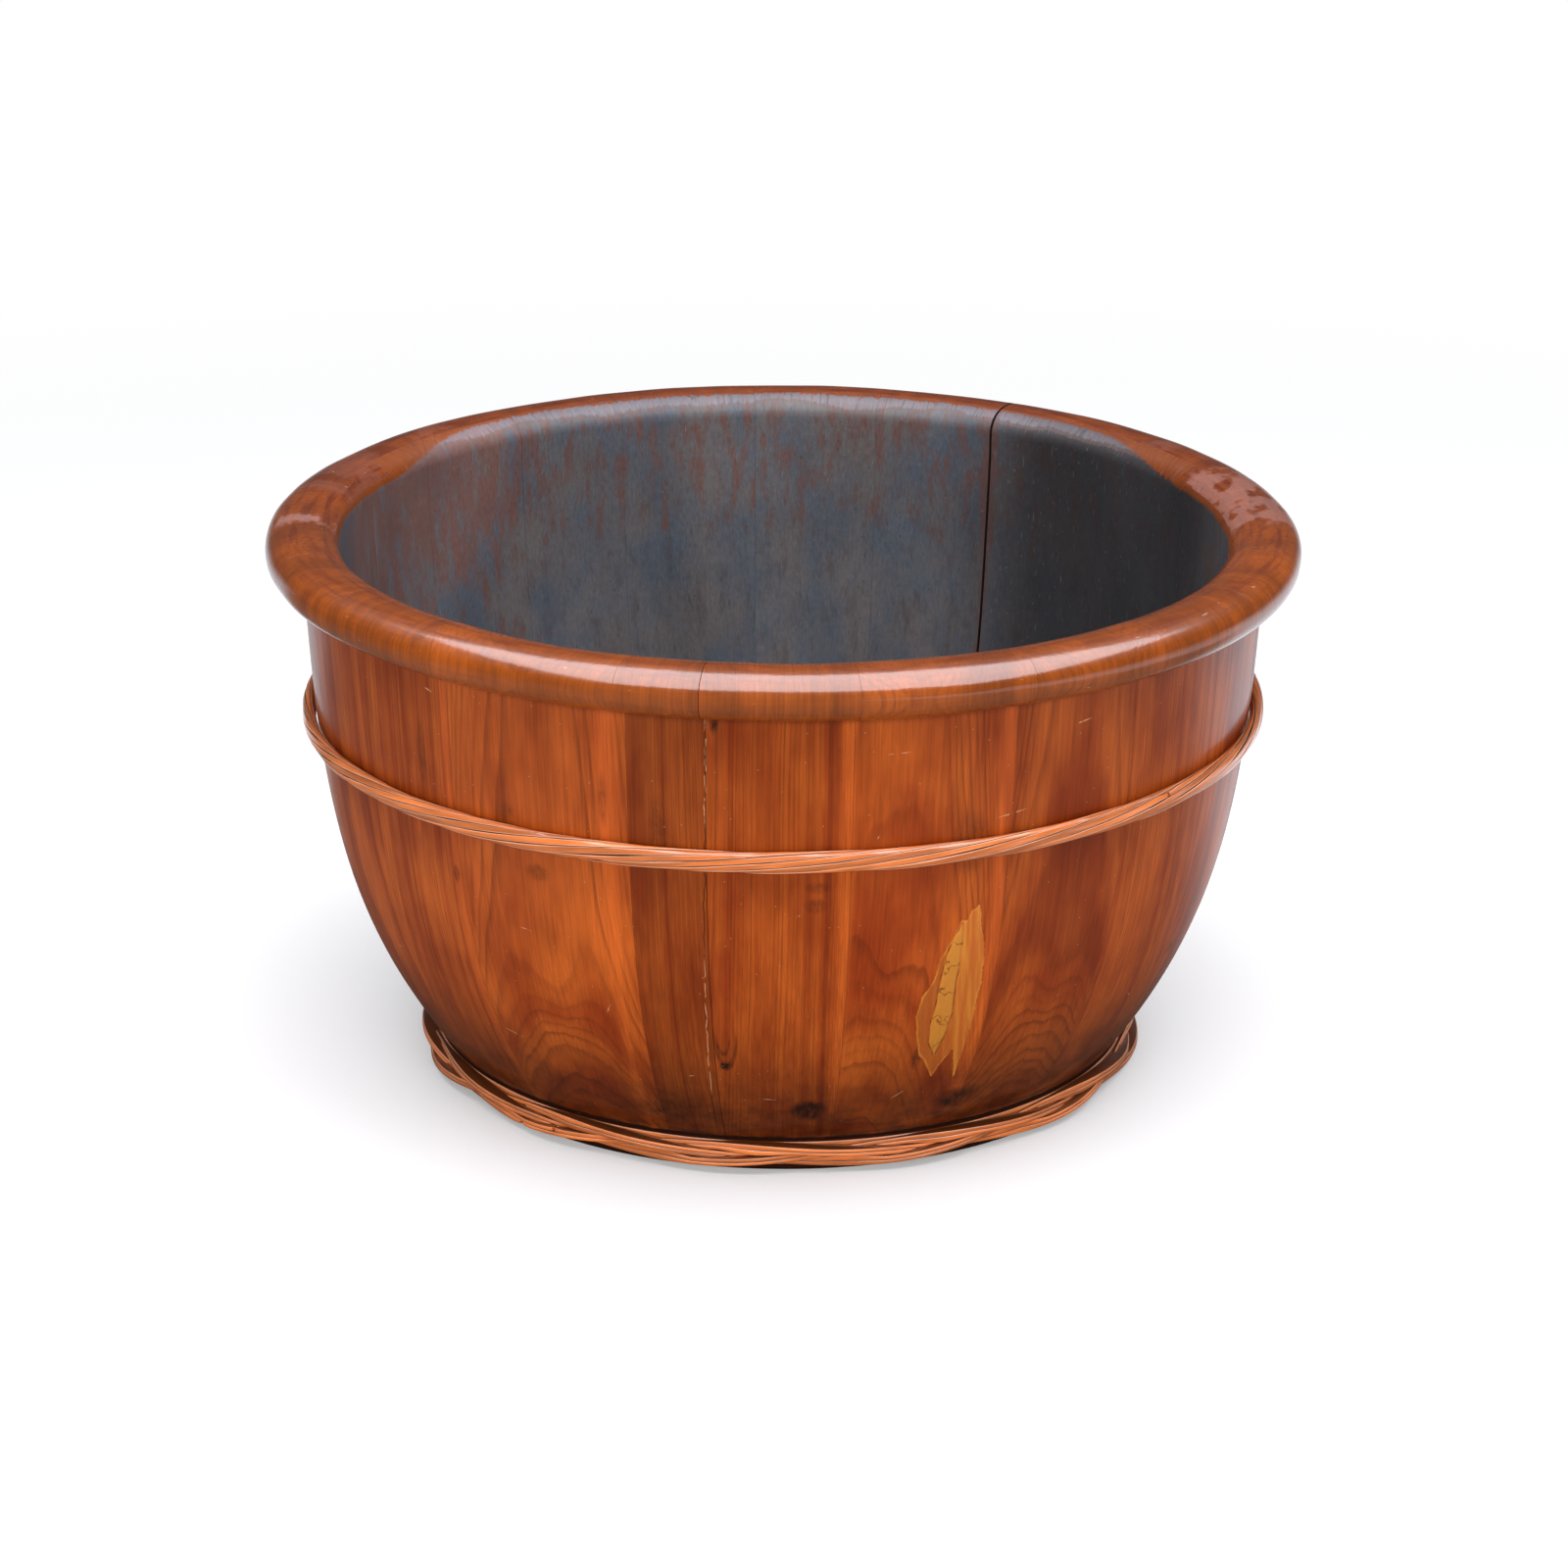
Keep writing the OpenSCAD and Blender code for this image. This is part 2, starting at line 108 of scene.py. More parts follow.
# Bright stripes of sapwood: bearing, half width in degrees at the foot and at the lip, and strength
SAPWOOD = [(-20.1, 0.6, 1.4, 0.45), (7.4, 0.8, 0.9, 0.4), (26.0, 1.0, 0.8, 0.4), (-41.8, 0.9, 0.7, 0.4)]
# Share of the belly's depth that the figure of the rings follows
HOLLOW = 0.22
# Millimetres along the wall for one degree of bearing, at about the wall's radius
MM_PER_DEGREE = 5.6

# Turn on the lip's section where the lacquer starts at the back, and at the front and sides
LACQUER_FROM, LACQUER_LOW = 110, 158
# Bearing to either side of the front past which the lacquer starts as at the back
LACQUER_BACK = 114

# Bearings of the splints' cut ends in the twisted hoop and in the plaited hoop
ROPE_ENDS = [-22, 132, 228, 50, 172, 268, -9, 96, 205]
PLAIT_ENDS = [-44, -37, 112, 160, 215, 262]
STRANDS = 3
# Steps in a turn of the tub for the woven splints and for the straight ones
WOVEN_STEPS, STRAIGHT_STEPS = 420, 240
# Bearings of the cut ends of the straight splints under the plait
CORE_ENDS = [75, 190, 238]

# Outlines of the smeared filler and of the plug in the gouge, as shares of the patch's width and half height
SMEAR = [(0.31, 1), (0.18, 0.94), (0.11, 0.84), (0.03, 0.86), (-0.08, 0.65), (-0.24, 0.48), (-0.31, 0.23),
         (-0.45, 0.06), (-0.5, -0.16), (-0.43, -0.39), (-0.33, -0.61), (-0.16, -0.8), (-0.02, -0.94),
         (0.13, -0.74), (0.22, -0.64), (0.36, -1), (0.41, -0.64), (0.45, -0.28), (0.47, 0.09), (0.5, 0.38),
         (0.45, 0.56), (0.38, 0.74)]
PLUG = [(0.05, 0.8), (-0.04, 0.68), (-0.14, 0.48), (-0.17, 0.3), (-0.2, 0.1), (-0.2, -0.06), (-0.24, -0.3),
        (-0.2, -0.49), (-0.07, -0.67), (0.01, -0.49), (0.08, -0.2), (0.06, 0.16), (0.08, 0.45), (0.08, 0.7)]


def paint(code):
    """Linear colour of a written sRGB colour such as #a34a20."""
    values = [int(code[i:i + 2], 16) / 255 for i in (1, 3, 5)]
    return tuple(v / 12.92 if v <= 0.04045 else ((v + 0.055) / 1.055) ** 2.4 for v in values)


def length_prop(name, description, default):
    """A length in metres that the panel shows."""
    return FloatProperty(name=name, description=description, default=default, min=0,
                         subtype="DISTANCE", unit="LENGTH", precision=4)


def colour_prop(name, description, code):
    """A colour that the panel shows, from a written sRGB colour."""
    return FloatVectorProperty(name=name, description=description, default=paint(code), size=3,
                               min=0, max=1, subtype="COLOR")


class BasinSizes(bpy.types.PropertyGroup):
    """Sizes of the tub and its hoops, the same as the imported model's."""

    rim_d: length_prop("Rim diameter", "Diameter over the rolled lip", CAD_HIGH.x - CAD_LOW.x)
    tub_h: length_prop("Height", "Height of the lip's crest", CAD_HIGH.z)
    foot_d: length_prop("Foot diameter", "Diameter of the straight foot", 476 * MM)
    foot_h: length_prop("Foot height", "Height of the straight foot", 22 * MM)
    stave_t: length_prop("Stave thickness", "Thickness of the staves, measured level", 25 * MM)
    wall_lean: length_prop("Lean", "Straight lean of the wall between foot and lip", 20 * MM)
    belly_power: FloatProperty(name="Belly", description="How late the belly turns in", default=3.4)
    lip_out: length_prop("Lip overhang", "How far the lip stands out past the wall", 25 * MM)
    lip_h: length_prop("Lip height", "Height of the rolled lip", 34 * MM)
    lip_square: FloatProperty(name="Lip squareness", description="Squareness of the lip", default=2.2)
    groove_z: length_prop("Groove height", "Height of the middle of the floor's groove", 43 * MM)
    groove_h: length_prop("Groove width", "Width of the floor's groove", 8.4 * MM)
    groove_depth: length_prop("Groove depth", "Depth of the floor's groove", 5 * MM)
    open_joint: length_prop("Open joint", "Width of the dried-out joint at the back", 1.6 * MM)
    hairline: length_prop("Hairline joint", "Width of the hairline joint at the front", 0.3 * MM)
    glue_line: length_prop("Glue line", "Thickness of the glue in the other joints", 0.1 * MM)
    wobble: length_prop("Hand-made waviness", "How far the planed surfaces wander", 0.45 * MM)
    rope_z: length_prop("Upper hoop height", "Height of the twisted hoop's middle", 248 * MM)
    rope_rise: length_prop("Upper hoop rise", "How much higher the hoop sits at the right", 3 * MM)
    rope_h: length_prop("Upper hoop section height", "Height of the twisted hoop", 15 * MM)
    rope_t: length_prop("Upper hoop section thickness", "Thickness of the twisted hoop", 10 * MM)
    rope_twists: IntProperty(name="Twists", description="Full twists in a turn of the hoop", default=5)
    plait_low: length_prop("Lower hoop height", "Height of the plaited hoop's lower edge", 5 * MM)
    plait_h: length_prop("Lower hoop width", "Height of the plaited hoop", 16 * MM)
    plait_waves: IntProperty(name="Waves", description="Waves in a turn of the plait", default=4)
    strand_t: length_prop("Splint thickness", "Thickness of a plaited splint", 2.2 * MM)
    core_t: length_prop("Inner splint thickness", "Thickness of the splints under the plait", 1.6 * MM)
    splint_gap: length_prop("Splint gap", "Clearance between neighbouring splints", 0.3 * MM)
    hoop_gap: length_prop("Hoop gap", "Clearance between a hoop and the wall", 0.2 * MM)
    end_gap: length_prop("End gap", "Free length between a splint's cut ends", 2.5 * MM)
    patch_z: length_prop("Patch height", "Height of the filler patch's middle", 139 * MM)
    patch_h: length_prop("Patch length", "Height of the filler patch", 138 * MM)
    patch_w: length_prop("Patch width", "Width of the filler patch", 44 * MM)
    smear_t: length_prop("Smear thickness", "Thickness of the smeared filler", 0.4 * MM)
    plug_proud: length_prop("Plug height", "How proud the plug of filler stands", 0.8 * MM)


class BasinColours(bpy.types.PropertyGroup):
    """Colours of the finishes."""

    wood_red: colour_prop("Varnished wood, red", "Deeper colour of the varnished staves", "#93370f")
    wood_orange: colour_prop("Varnished wood, orange", "Brighter colour of the staves", "#bd5a1d")
    wood_line: colour_prop("Growth lines", "Late wood in the growth rings", "#561d0a")
    sapwood: colour_prop("Bright stripe", "Bright stripes of sapwood", "#ea6f28")
    lip: colour_prop("Lip", "Yellower varnish on the carved lip", "#9f4b0d")
    # Painted reflection of bright windows on the lip's varnish
    reflected: colour_prop("Rubbed varnish", "Dull patches rubbed on the lip", "#bb8b82")
    # Colour of stains, pores and the front joint's crack, of the darkening towards the foot and over the
    # lower hoop, and of painted shade in the crease under the lip and behind the lower hoop
    dirt_and_shade: colour_prop("Dirt", "Dirt under the lip, on the foot and in stains", "#2c130b")
    pale_wear: colour_prop("Pale wear", "Scratches and dust in cracks", "#d8a67c")
    lacquer: colour_prop("Lacquer", "Charcoal lacquer inside", "#5e5857")
    # Also used as painted shade on the right side inside
    lacquer_dark_and_shade: colour_prop("Dark lacquer", "Darkest lacquer inside", "#262425")
    lacquer_blue: colour_prop("Blue lacquer", "Bluish bloom on the lacquer", "#4c525b")
    lacquer_red: colour_prop("Worn lacquer", "Wood that shows through the lacquer", "#67463e")
    worn_edge: colour_prop("Worn edge", "Bloom on the worn edge inside the lip", "#7b6e75")
    cane: colour_prop("Cane", "Varnished split cane", "#e67c38")
    cane_dark: colour_prop("Dark cane", "Darker fibres of the cane", "#b65a22")
    # Painted highlights along the splints' edges
    cane_edge_highlight: colour_prop("Cane edges", "Pale cut edges and ends of the cane", "#ffd8bd")
    filler: colour_prop("Filler", "Smeared wood filler", "#c05e1d")
    filler_pale: colour_prop("Pale filler", "Thicker streaks of the filler", "#d98a2f")
    filler_plug: colour_prop("Plug", "Filler in the gouge", "#d0862f")
    joint: colour_prop("Joints", "Bare wood in the joints between the staves", "#2a1a12")
    bamboo: colour_prop("Bamboo", "Pegs between the staves and the floor boards", "#b9975a")


def smooth(value, low, high):
    """Smooth rise from 0 at low to 1 at high."""
    share = max(0.0, min(1.0, (value - low) / (high - low)))
    return share * share * (3 - 2 * share)


class Tub:
    """The turned form of the tub, worked out from the sizes."""

    wall_steps = 64
    lip_steps = 60
    lip_from = -80

    def __init__(self, sizes):
        self.sizes = sizes
        self.wall_r = sizes.rim_d / 2 - sizes.lip_out
        self.foot_r = sizes.foot_d / 2
        self.crease_z = sizes.tub_h - sizes.lip_h
        self.lip_z = sizes.tub_h - sizes.lip_h / 2
        self.belly_in = self.wall_r - self.foot_r - sizes.wall_lean
        self.joints = [FRONT_JOINT]
        for share in STAVE_SHARES:
            self.joints.append(self.joints[-1] + 360 * share / sum(STAVE_SHARES))

    def wall_share(self, z):
        """How far down the curved wall a height lies, from 0 at the lip to 1 at the foot."""
        return max(0.0, min(1.0, (self.crease_z - z) / (self.crease_z - self.sizes.foot_h)))

    def outer_r(self, z):
        """Radius of the wall's outer face."""
        share = self.wall_share(z)
        return self.wall_r - self.sizes.wall_lean * share - self.belly_in * share ** self.sizes.belly_power

    def inner_r(self, z):
        """Radius of the wall's inner face."""
        return self.outer_r(z) - self.sizes.stave_t

    def lip_point(self, turn):
        """Radius and height of a point of the lip's section."""
        sizes = self.sizes
        across, up = math.cos(math.radians(turn)), math.sin(math.radians(turn))
        power = 2 / sizes.lip_square
        reach = sizes.lip_out if across > 0 else sizes.stave_t
        return (self.wall_r + reach * math.copysign(abs(across) ** power, across),
                self.lip_z + sizes.lip_h / 2 * math.copysign(abs(up) ** power, up))

    def section(self):
        """Points of a stave's section as (radius, height, turn), round from the foot's outer edge."""
        sizes = self.sizes
        chamfer = 2 * MM
        foot_z, top_z = sizes.foot_h, self.crease_z
        low, high = sizes.groove_z - sizes.groove_h / 2, sizes.groove_z + sizes.groove_h / 2
        groove_r = self.inner_r(high) + sizes.groove_depth
        climb = [foot_z + (top_z - foot_z) * i / self.wall_steps for i in range(self.wall_steps + 1)]
        outside = [(self.foot_r - chamfer, 0.0), (self.foot_r, chamfer), (self.foot_r, foot_z / 2)]
        outside += [(self.outer_r(z), z) for z in climb]
        inside = [(self.inner_r(z), z) for z in reversed(climb) if z > high]
        inside += [(self.inner_r(high), high), (groove_r, high), (groove_r, low), (self.inner_r(low), low)]
        inside += [(self.inner_r(foot_z), foot_z), (self.foot_r - sizes.stave_t, 0.0)]
        turns = [self.lip_from + (180 - self.lip_from) * i / self.lip_steps
                 for i in range(1, self.lip_steps + 1)]
        return ([(r, z, self.lip_from - (top_z - z) / MM) for r, z in outside]
                + [(*self.lip_point(turn), turn) for turn in turns]
                + [(r, z, 180 + (self.lip_z - z) / MM) for r, z in inside])

    def wobble(self, bearing, radius, z, turn):
        """How far the hand-planed surface stands out, in metres."""
        place = around(bearing, radius, z)
        slow = noise.noise(place * 11) + 0.5 * noise.noise(place * 27 + Vector((3, 1, 2)))
        on_lip = smooth(turn, -70, -20) * (1 - smooth(turn, 150, 180))
        inside = smooth(turn, 175, 190)
        fade = smooth(z, *WAVY_FROM)
        return self.sizes.wobble * (slow * (0.6 + 0.9 * on_lip + 0.6 * inside) - on_lip) * fade


def around(bearing, radius, z):
    """Place of a point at a bearing."""
    angle = math.radians(bearing)
    return Vector((radius * math.sin(angle), -radius * math.cos(angle), z))


def finished(name, bm, materials, node=None, sharp=35):
    """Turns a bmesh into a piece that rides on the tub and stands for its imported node."""
    mesh = bpy.data.meshes.new(name)
    bm.to_mesh(mesh)
    bm.free()
    mesh.shade_smooth()
    mesh.set_sharp_from_angle(angle=math.radians(sharp))
    for material in materials:
        mesh.materials.append(material)
    piece = bpy.data.objects.new(name, mesh)
    bpy.context.scene.collection.objects.link(piece)
    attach(piece, "root")
    if node:
        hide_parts(node)
    return piece


def closed_spin(corners, start, sweep, steps):
    """Spins a closed outline of (radius, height) round the axis and caps it, keeping each corner's number."""
    bm = bmesh.new()
    number = bm.verts.layers.int.new("number")
    ring = [bm.verts.new(around(start, r, z)) for r, z in corners]
    for i, vertex in enumerate(ring):
        vertex[number] = i
    edges = [bm.edges.new((ring[i - 1], ring[i])) for i in range(len(ring))]
    bmesh.ops.spin(bm, geom=ring + edges, cent=(0, 0, 0), axis=(0, 0, 1),
                   angle=math.radians(sweep), steps=steps)
    ends = bmesh.ops.holes_fill(bm, edges=[e for e in bm.edges if e.is_boundary], sides=0)["faces"]
    return bm, number, ends


def bearing_from(start, point):
    """Bearing of a point, counted on from the start of a spin."""
    bearing = math.degrees(math.atan2(point.x, -point.y))
    nudge = 0.01
    return start + (bearing - start + nudge) % 360 - nudge


class Net:
    """The nodes of one material, added and joined in short calls."""

    def __init__(self, name):
        self.material = bpy.data.materials.new(name)
        self.material.use_nodes = True
        self.tree = self.material.node_tree
        self.shader = self.tree.nodes["Principled BSDF"]

    def feed(self, socket, value):
        """Joins a socket to another one, or sets its value."""
        if isinstance(value, bpy.types.NodeSocket):
            self.tree.links.new(value, socket)
        elif socket.type == "RGBA" and len(value) == 3:
            socket.default_value = (*value, 1)
        else:
            socket.default_value = value

    def node(self, kind, inputs=None, **settings):
        """Adds a node with its settings and inputs."""
        node = self.tree.nodes.new(kind)
        for key, value in settings.items():
            setattr(node, key, value)
        for key, value in (inputs or {}).items():
            self.feed(node.inputs[key], value)
        return node

    def math(self, operation, *values, clamp=False):
        """One step of arithmetic."""
        node = self.node("ShaderNodeMath", operation=operation, use_clamp=clamp)
        for socket, value in zip(node.inputs, values):
            self.feed(socket, value)
        return node.outputs[0]

    def add(self, first, *rest):
        """Sum of the values."""
        for value in rest:
            first = self.math("ADD", first, value)
        return first

    def times(self, first, *rest):
        """Product of the values."""
        for value in rest:
            first = self.math("MULTIPLY", first, value)
        return first

    def near(self, value, centre):
        """Distance of a value from a centre."""
        return self.math("ABSOLUTE", self.math("SUBTRACT", value, centre))

    def vector(self, operation, *values):
        """One step of arithmetic on vectors."""
        node = self.node("ShaderNodeVectorMath", operation=operation)
        for socket, value in zip(node.inputs, values):
            self.feed(socket, value)
        return node.outputs["Value" if operation in ("LENGTH", "DOT_PRODUCT") else "Vector"]

    def parts(self, vector):
        """The three values of a vector."""
        node = self.node("ShaderNodeSeparateXYZ", {"Vector": vector})
        return node.outputs["X"], node.outputs["Y"], node.outputs["Z"]

    def ramp(self, value, low, high, start, end, kind="SMOOTHSTEP"):
        """Takes low to high onto start to end."""
        node = self.node("ShaderNodeMapRange", {"Value": value, "From Min": low, "From Max": high,
                                                "To Min": start, "To Max": end}, interpolation_type=kind)
        return node.outputs["Result"]

    def rise(self, value, low, high):
        """Smooth rise from 0 at low to 1 at high."""
        return self.ramp(value, low, high, 0.0, 1.0)

    def fall(self, value, low, high):
        """Smooth fall from 1 at low to 0 at high."""
        return self.ramp(value, low, high, 1.0, 0.0)

    def hump(self, value, up_from, up_to, down_from, down_to):
        """1 between two smooth slopes, and 0 outside them."""
        return self.times(self.rise(value, up_from, up_to), self.fall(value, down_from, down_to))

    def scale(self, value, start, end):
        """Takes 0 to 1 onto start to end."""
        return self.ramp(value, 0.0, 1.0, start, end, "LINEAR")

    def cloud(self, vector, scales, detail=2.0, rough=0.5):
        """Noise from 0 to 1, on a vector stretched by three scales."""
        place = self.node("ShaderNodeMapping", {"Vector": vector, "Scale": scales}).outputs["Vector"]
        node = self.node("ShaderNodeTexNoise", {"Vector": place, "Scale": 1.0, "Detail": detail,
                                                "Roughness": rough})
        return node.outputs[0]

    def wave(self, value, detail=2.0):
        """Noise from 0 to 1 along one value."""
        node = self.node("ShaderNodeTexNoise", {"W": value, "Scale": 1.0, "Detail": detail},
                         noise_dimensions="1D")
        return node.outputs[0]

    def mix(self, share, a, b):
        """Mix of two colours, all of the second at 1."""
        node = self.node("ShaderNodeMix", data_type="RGBA")
        self.feed(node.inputs[0], share)
        self.feed(node.inputs[6], a)
        self.feed(node.inputs[7], b)
        return node.outputs[2]

    def lit(self, colour, value):
        """A colour at a share of its brightness."""
        return self.node("ShaderNodeHueSaturation", {"Color": colour, "Value": value}).outputs["Color"]

    def attribute(self, name, kind="Vector"):
        """Values that the mesh carries at its corners."""
        return self.node("ShaderNodeAttribute", attribute_name=name).outputs[kind]

    def spot(self, place, x, y, half_x, half_y, soft=1.0, slope=0.0):
        """Soft oval mark, 1 in its middle, on flat coordinates in millimetres."""
        cos, sin = math.cos(math.radians(slope)), math.sin(math.radians(slope))
        away = self.vector("SUBTRACT", place, (x, y, 0.0))
        across = self.vector("DOT_PRODUCT", away, (cos / half_x, sin / half_x, 0.0))
        along = self.vector("DOT_PRODUCT", away, (-sin / half_y, cos / half_y, 0.0))
        square = self.math("MULTIPLY_ADD", across, across, self.times(along, along))
        return self.fall(square, (1 - soft) ** 2, 1.0)

    def bump(self, height, reach):
        """Normals from a height, where 1 stands reach metres out."""
        node = self.node("ShaderNodeBump", {"Height": height, "Distance": reach, "Strength": 1.0})
        return node.outputs["Normal"]

    def done(self, colour, roughness, normal=None, **constants):
        """Feeds the shader, sets its even values and hands over the material."""
        self.feed(self.shader.inputs["Base Color"], colour)
        self.feed(self.shader.inputs["Roughness"], roughness)
        if normal is not None:
            self.feed(self.shader.inputs["Normal"], normal)
            self.feed(self.shader.inputs["Coat Normal"], normal)
        for key, value in constants.items():
            self.shader.inputs[key.replace("_", " ")].default_value = value
        return self.material


def dimmed(colour, share):
    """A written colour at a share of its brightness."""
    return tuple(value * share for value in colour)


def growth_rings(net):
    """Growth rings of the log each stave was sawn from: late wood lines, slow bands and fine fibres."""
    log = net.attribute("log")
    _, _, height = net.parts(log)
    radius = net.vector("LENGTH", net.vector("MULTIPLY", log, (1.0, 1.0, 0.0)))
    slow = net.cloud(log, (1 / 90, 1 / 90, 1 / 420), 1.0)
    fine = net.cloud(log, (1 / 12, 1 / 12, 1 / 120), 1.0)
    radius = net.add(radius, net.times(slow, 16.0), net.times(fine, 1.6), net.times(height, 0.012))
    count = net.add(net.times(radius, 1 / 2.1), net.times(net.wave(net.times(radius, 1 / 12), 1.0), 4.0))
    share = net.math("FRACT", count)
    line = net.hump(share, 0.45, 0.88, 0.9, 1.0)
    strength = net.node("ShaderNodeTexWhiteNoise", {"W": net.math("FLOOR", count)},
                        noise_dimensions="1D").outputs["Value"]
    band = net.wave(net.times(radius, 1 / 10), 2.0)
    fibre = net.cloud(log, (1 / 1.7, 1 / 1.7, 1 / 80), 3.0, 0.65)
    return net.times(line, net.scale(strength, 0.25, 1.0)), band, fibre


def stave_place(net):
    """Place on a stave: the whole attribute, millimetres along and up the wall, turn, and bearing."""
    place = net.attribute("place")
    along, height, turn = net.parts(place)
    return place, along, height, turn, net.times(along, 1 / MM_PER_DEGREE)


def wood_base(net, colours, lip):
    """Colour of the bare varnished wood: slow bands, growth lines, fibres and each stave's own tone; on the
    wall it also darkens from mid height up to the lip, painted shade under the lip together with dirt.
    """
    place = net.attribute("place")
    line, band, fibre = growth_rings(net)
    blotch = net.cloud(place, (1 / 50, 1 / 105, 0), 3.0, 0.55)
    mixed = net.add(net.times(band, 0.4), net.times(blotch, 0.6))
    if lip:
        colour = net.mix(net.rise(mixed, 0.34, 0.66), dimmed(colours.lip, 0.66), colours.lip)
    else:
        colour = net.mix(net.rise(mixed, 0.32, 0.66), colours.wood_red, colours.wood_orange)
    own = net.ramp(net.attribute("tone", "Fac"), 0.0, 2.0, *((0.6, 1.4) if lip else (0.0, 2.0)), "LINEAR")
    tone = net.times(own, net.ramp(blotch, 0.25, 0.75, 0.88, 1.14, "LINEAR"))
    colour = net.lit(colour, tone)
    shares = (0.1, 0.5) if lip else (0.22, 0.68)
    colour = net.mix(net.times(line, net.scale(blotch, *shares)), colour, colours.wood_line)
    shade = net.ramp(fibre, 0.3, 0.7, 1.2, 0.8, "LINEAR")
    if not lip:
        _, height, _ = net.parts(place)
        # Darker from mid height up to the lip: painted shade under the overhanging lip, together with dirt
        # there
        shade = net.times(shade, net.ramp(height, 150.0, 290.0, 1.04, 0.84))
    colour = net.lit(colour, shade)
    return colour, line, blotch, fibre


def varnished_wall(colours):
    """Red-brown varnished outside of the staves, with stains and scratches, painted shade in the crease under
    the lip and on the foot behind the lower hoop, a dark ragged line just above that hoop, and darker towards
    the foot.
    """
    net = Net("varnished_wall")
    colour, line, blotch, fibre = wood_base(net, colours, False)
    place, along, height, turn, bearing = stave_place(net)
    for centre, foot, top, strength in SAPWOOD:
        half = net.ramp(height, 0, 340, foot, top, "LINEAR")
        stripe = net.fall(net.math("SUBTRACT", net.near(bearing, centre), half), -0.9, 0.6)
        colour = net.mix(net.times(stripe, strength, net.ramp(fibre, 0.3, 0.7, 1.1, 0.6)), colour,
                         colours.sapwood)

    ragged = net.cloud(place, (1 / 4, 1 / 7, 0), 3.0, 0.6)
    stain = 0.0
    for b, z, half_x, half_z, strength in STAINS:
        mark = net.spot(place, b * MM_PER_DEGREE, z, half_x * 1.3, half_z * 1.3)
        stain = net.math("MULTIPLY_ADD", mark, strength, stain)
    for b, z, half_x, half_z in KNOT_LOOPS:
        across = net.times(net.math("SUBTRACT", along, b * MM_PER_DEGREE), 1 / half_x)
        down = net.times(net.math("SUBTRACT", height, float(z)), 1 / half_z)
        reach = net.math("SQRT", net.math("MULTIPLY_ADD", across, across, net.times(down, down)))
        loop = net.times(net.fall(net.near(reach, 1.0), 0.02, 0.28), net.fall(down, -0.5, 0.7))
        stain = net.math("MULTIPLY_ADD", loop, 0.6, stain)
    stain = net.times(stain, net.ramp(ragged, 0.3, 0.7, 0.35, 1.3, "LINEAR"))
    pores = net.rise(net.cloud(place, (1 / 0.9, 1 / 3.2, 0), 1.0), 0.735, 0.79)
    foot_mottle = net.cloud(place, (1 / 30, 1 / 13, 0), 3.0, 0.6)
    # Painted shade in the crease under the lip
    crease = net.rise(turn, -87.0, -80.0)
    # Darker towards the foot, and a dark ragged line just above the lower hoop
    foot = net.times(net.fall(height, 20.0, 125.0), net.ramp(foot_mottle, 0.3, 0.7, 0.52, 0.85))
    edge = net.times(net.fall(net.near(height, net.scale(foot_mottle, 20.5, 26.0)), 0.5, 1.9),
                     net.ramp(foot_mottle, 0.35, 0.6, 0.35, 0.95))
    # Painted shade on the foot under and behind the lower hoop, nearly black
    below = net.times(net.fall(height, 20.5, 22.5), 0.95)
    # Stains, pores and knot loops are dirt; the crease and the foot behind the hoop are painted shade
    dirt_and_shade = net.add(stain, net.times(pores, 0.5), net.times(crease, 0.4), foot, edge)
    colour = net.mix(net.math("ADD", dirt_and_shade, below, clamp=True), colour, colours.dirt_and_shade)

    scratch = 0.0
    for b, z, half_x, half_z, slope in SCRATCHES:
        mark = net.spot(place, b * MM_PER_DEGREE, z, half_x, half_z, 0.8, slope)
        scratch = net.add(scratch, mark)
    broken = net.rise(ragged, 0.42, 0.52)
    joint_at = net.add(net.ramp(height, 40.0, 300.0, -9.6, -8.5, "LINEAR"),
                       net.times(net.wave(net.times(height, 1 / 17)), 0.5), -0.25)
    crack = net.fall(net.near(bearing, joint_at), 0.03, 0.1)
    pale_part = net.math("MAXIMUM", net.rise(height, 262.0, 285.0),
                         net.hump(height, 62.0, 72.0, 150.0, 190.0))
    colour = net.mix(net.times(crack, net.scale(pale_part, 0.8, 0.0)), colour, colours.dirt_and_shade)
    cell = net.node("ShaderNodeTexVoronoi", {"Vector": place, "Scale": 1 / 17}, voronoi_dimensions="2D")
    chosen = net.rise(net.cloud(place, (1 / 23, 1 / 23, 0), 0.0), 0.56, 0.62)
    specks = net.times(net.fall(cell.outputs["Distance"], 0.012, 0.034), chosen)
    pale = net.add(net.times(scratch, broken), net.times(crack, pale_part, broken), net.times(specks, 0.6))
    colour = net.mix(net.math("MULTIPLY", pale, 0.75, clamp=True), colour, colours.pale_wear)

    roughness = net.scale(net.add(net.times(blotch, 0.6), net.times(fibre, 0.4)), 0.28, 0.5)
    height_map = net.add(net.times(line, -0.4), net.times(fibre, -0.35), net.times(pores, -0.6))
    return net.done(colour, roughness, net.bump(height_map, 0.00006), Coat_Weight=0.3, Coat_Roughness=0.12,
                    Specular_IOR_Level=0.2)


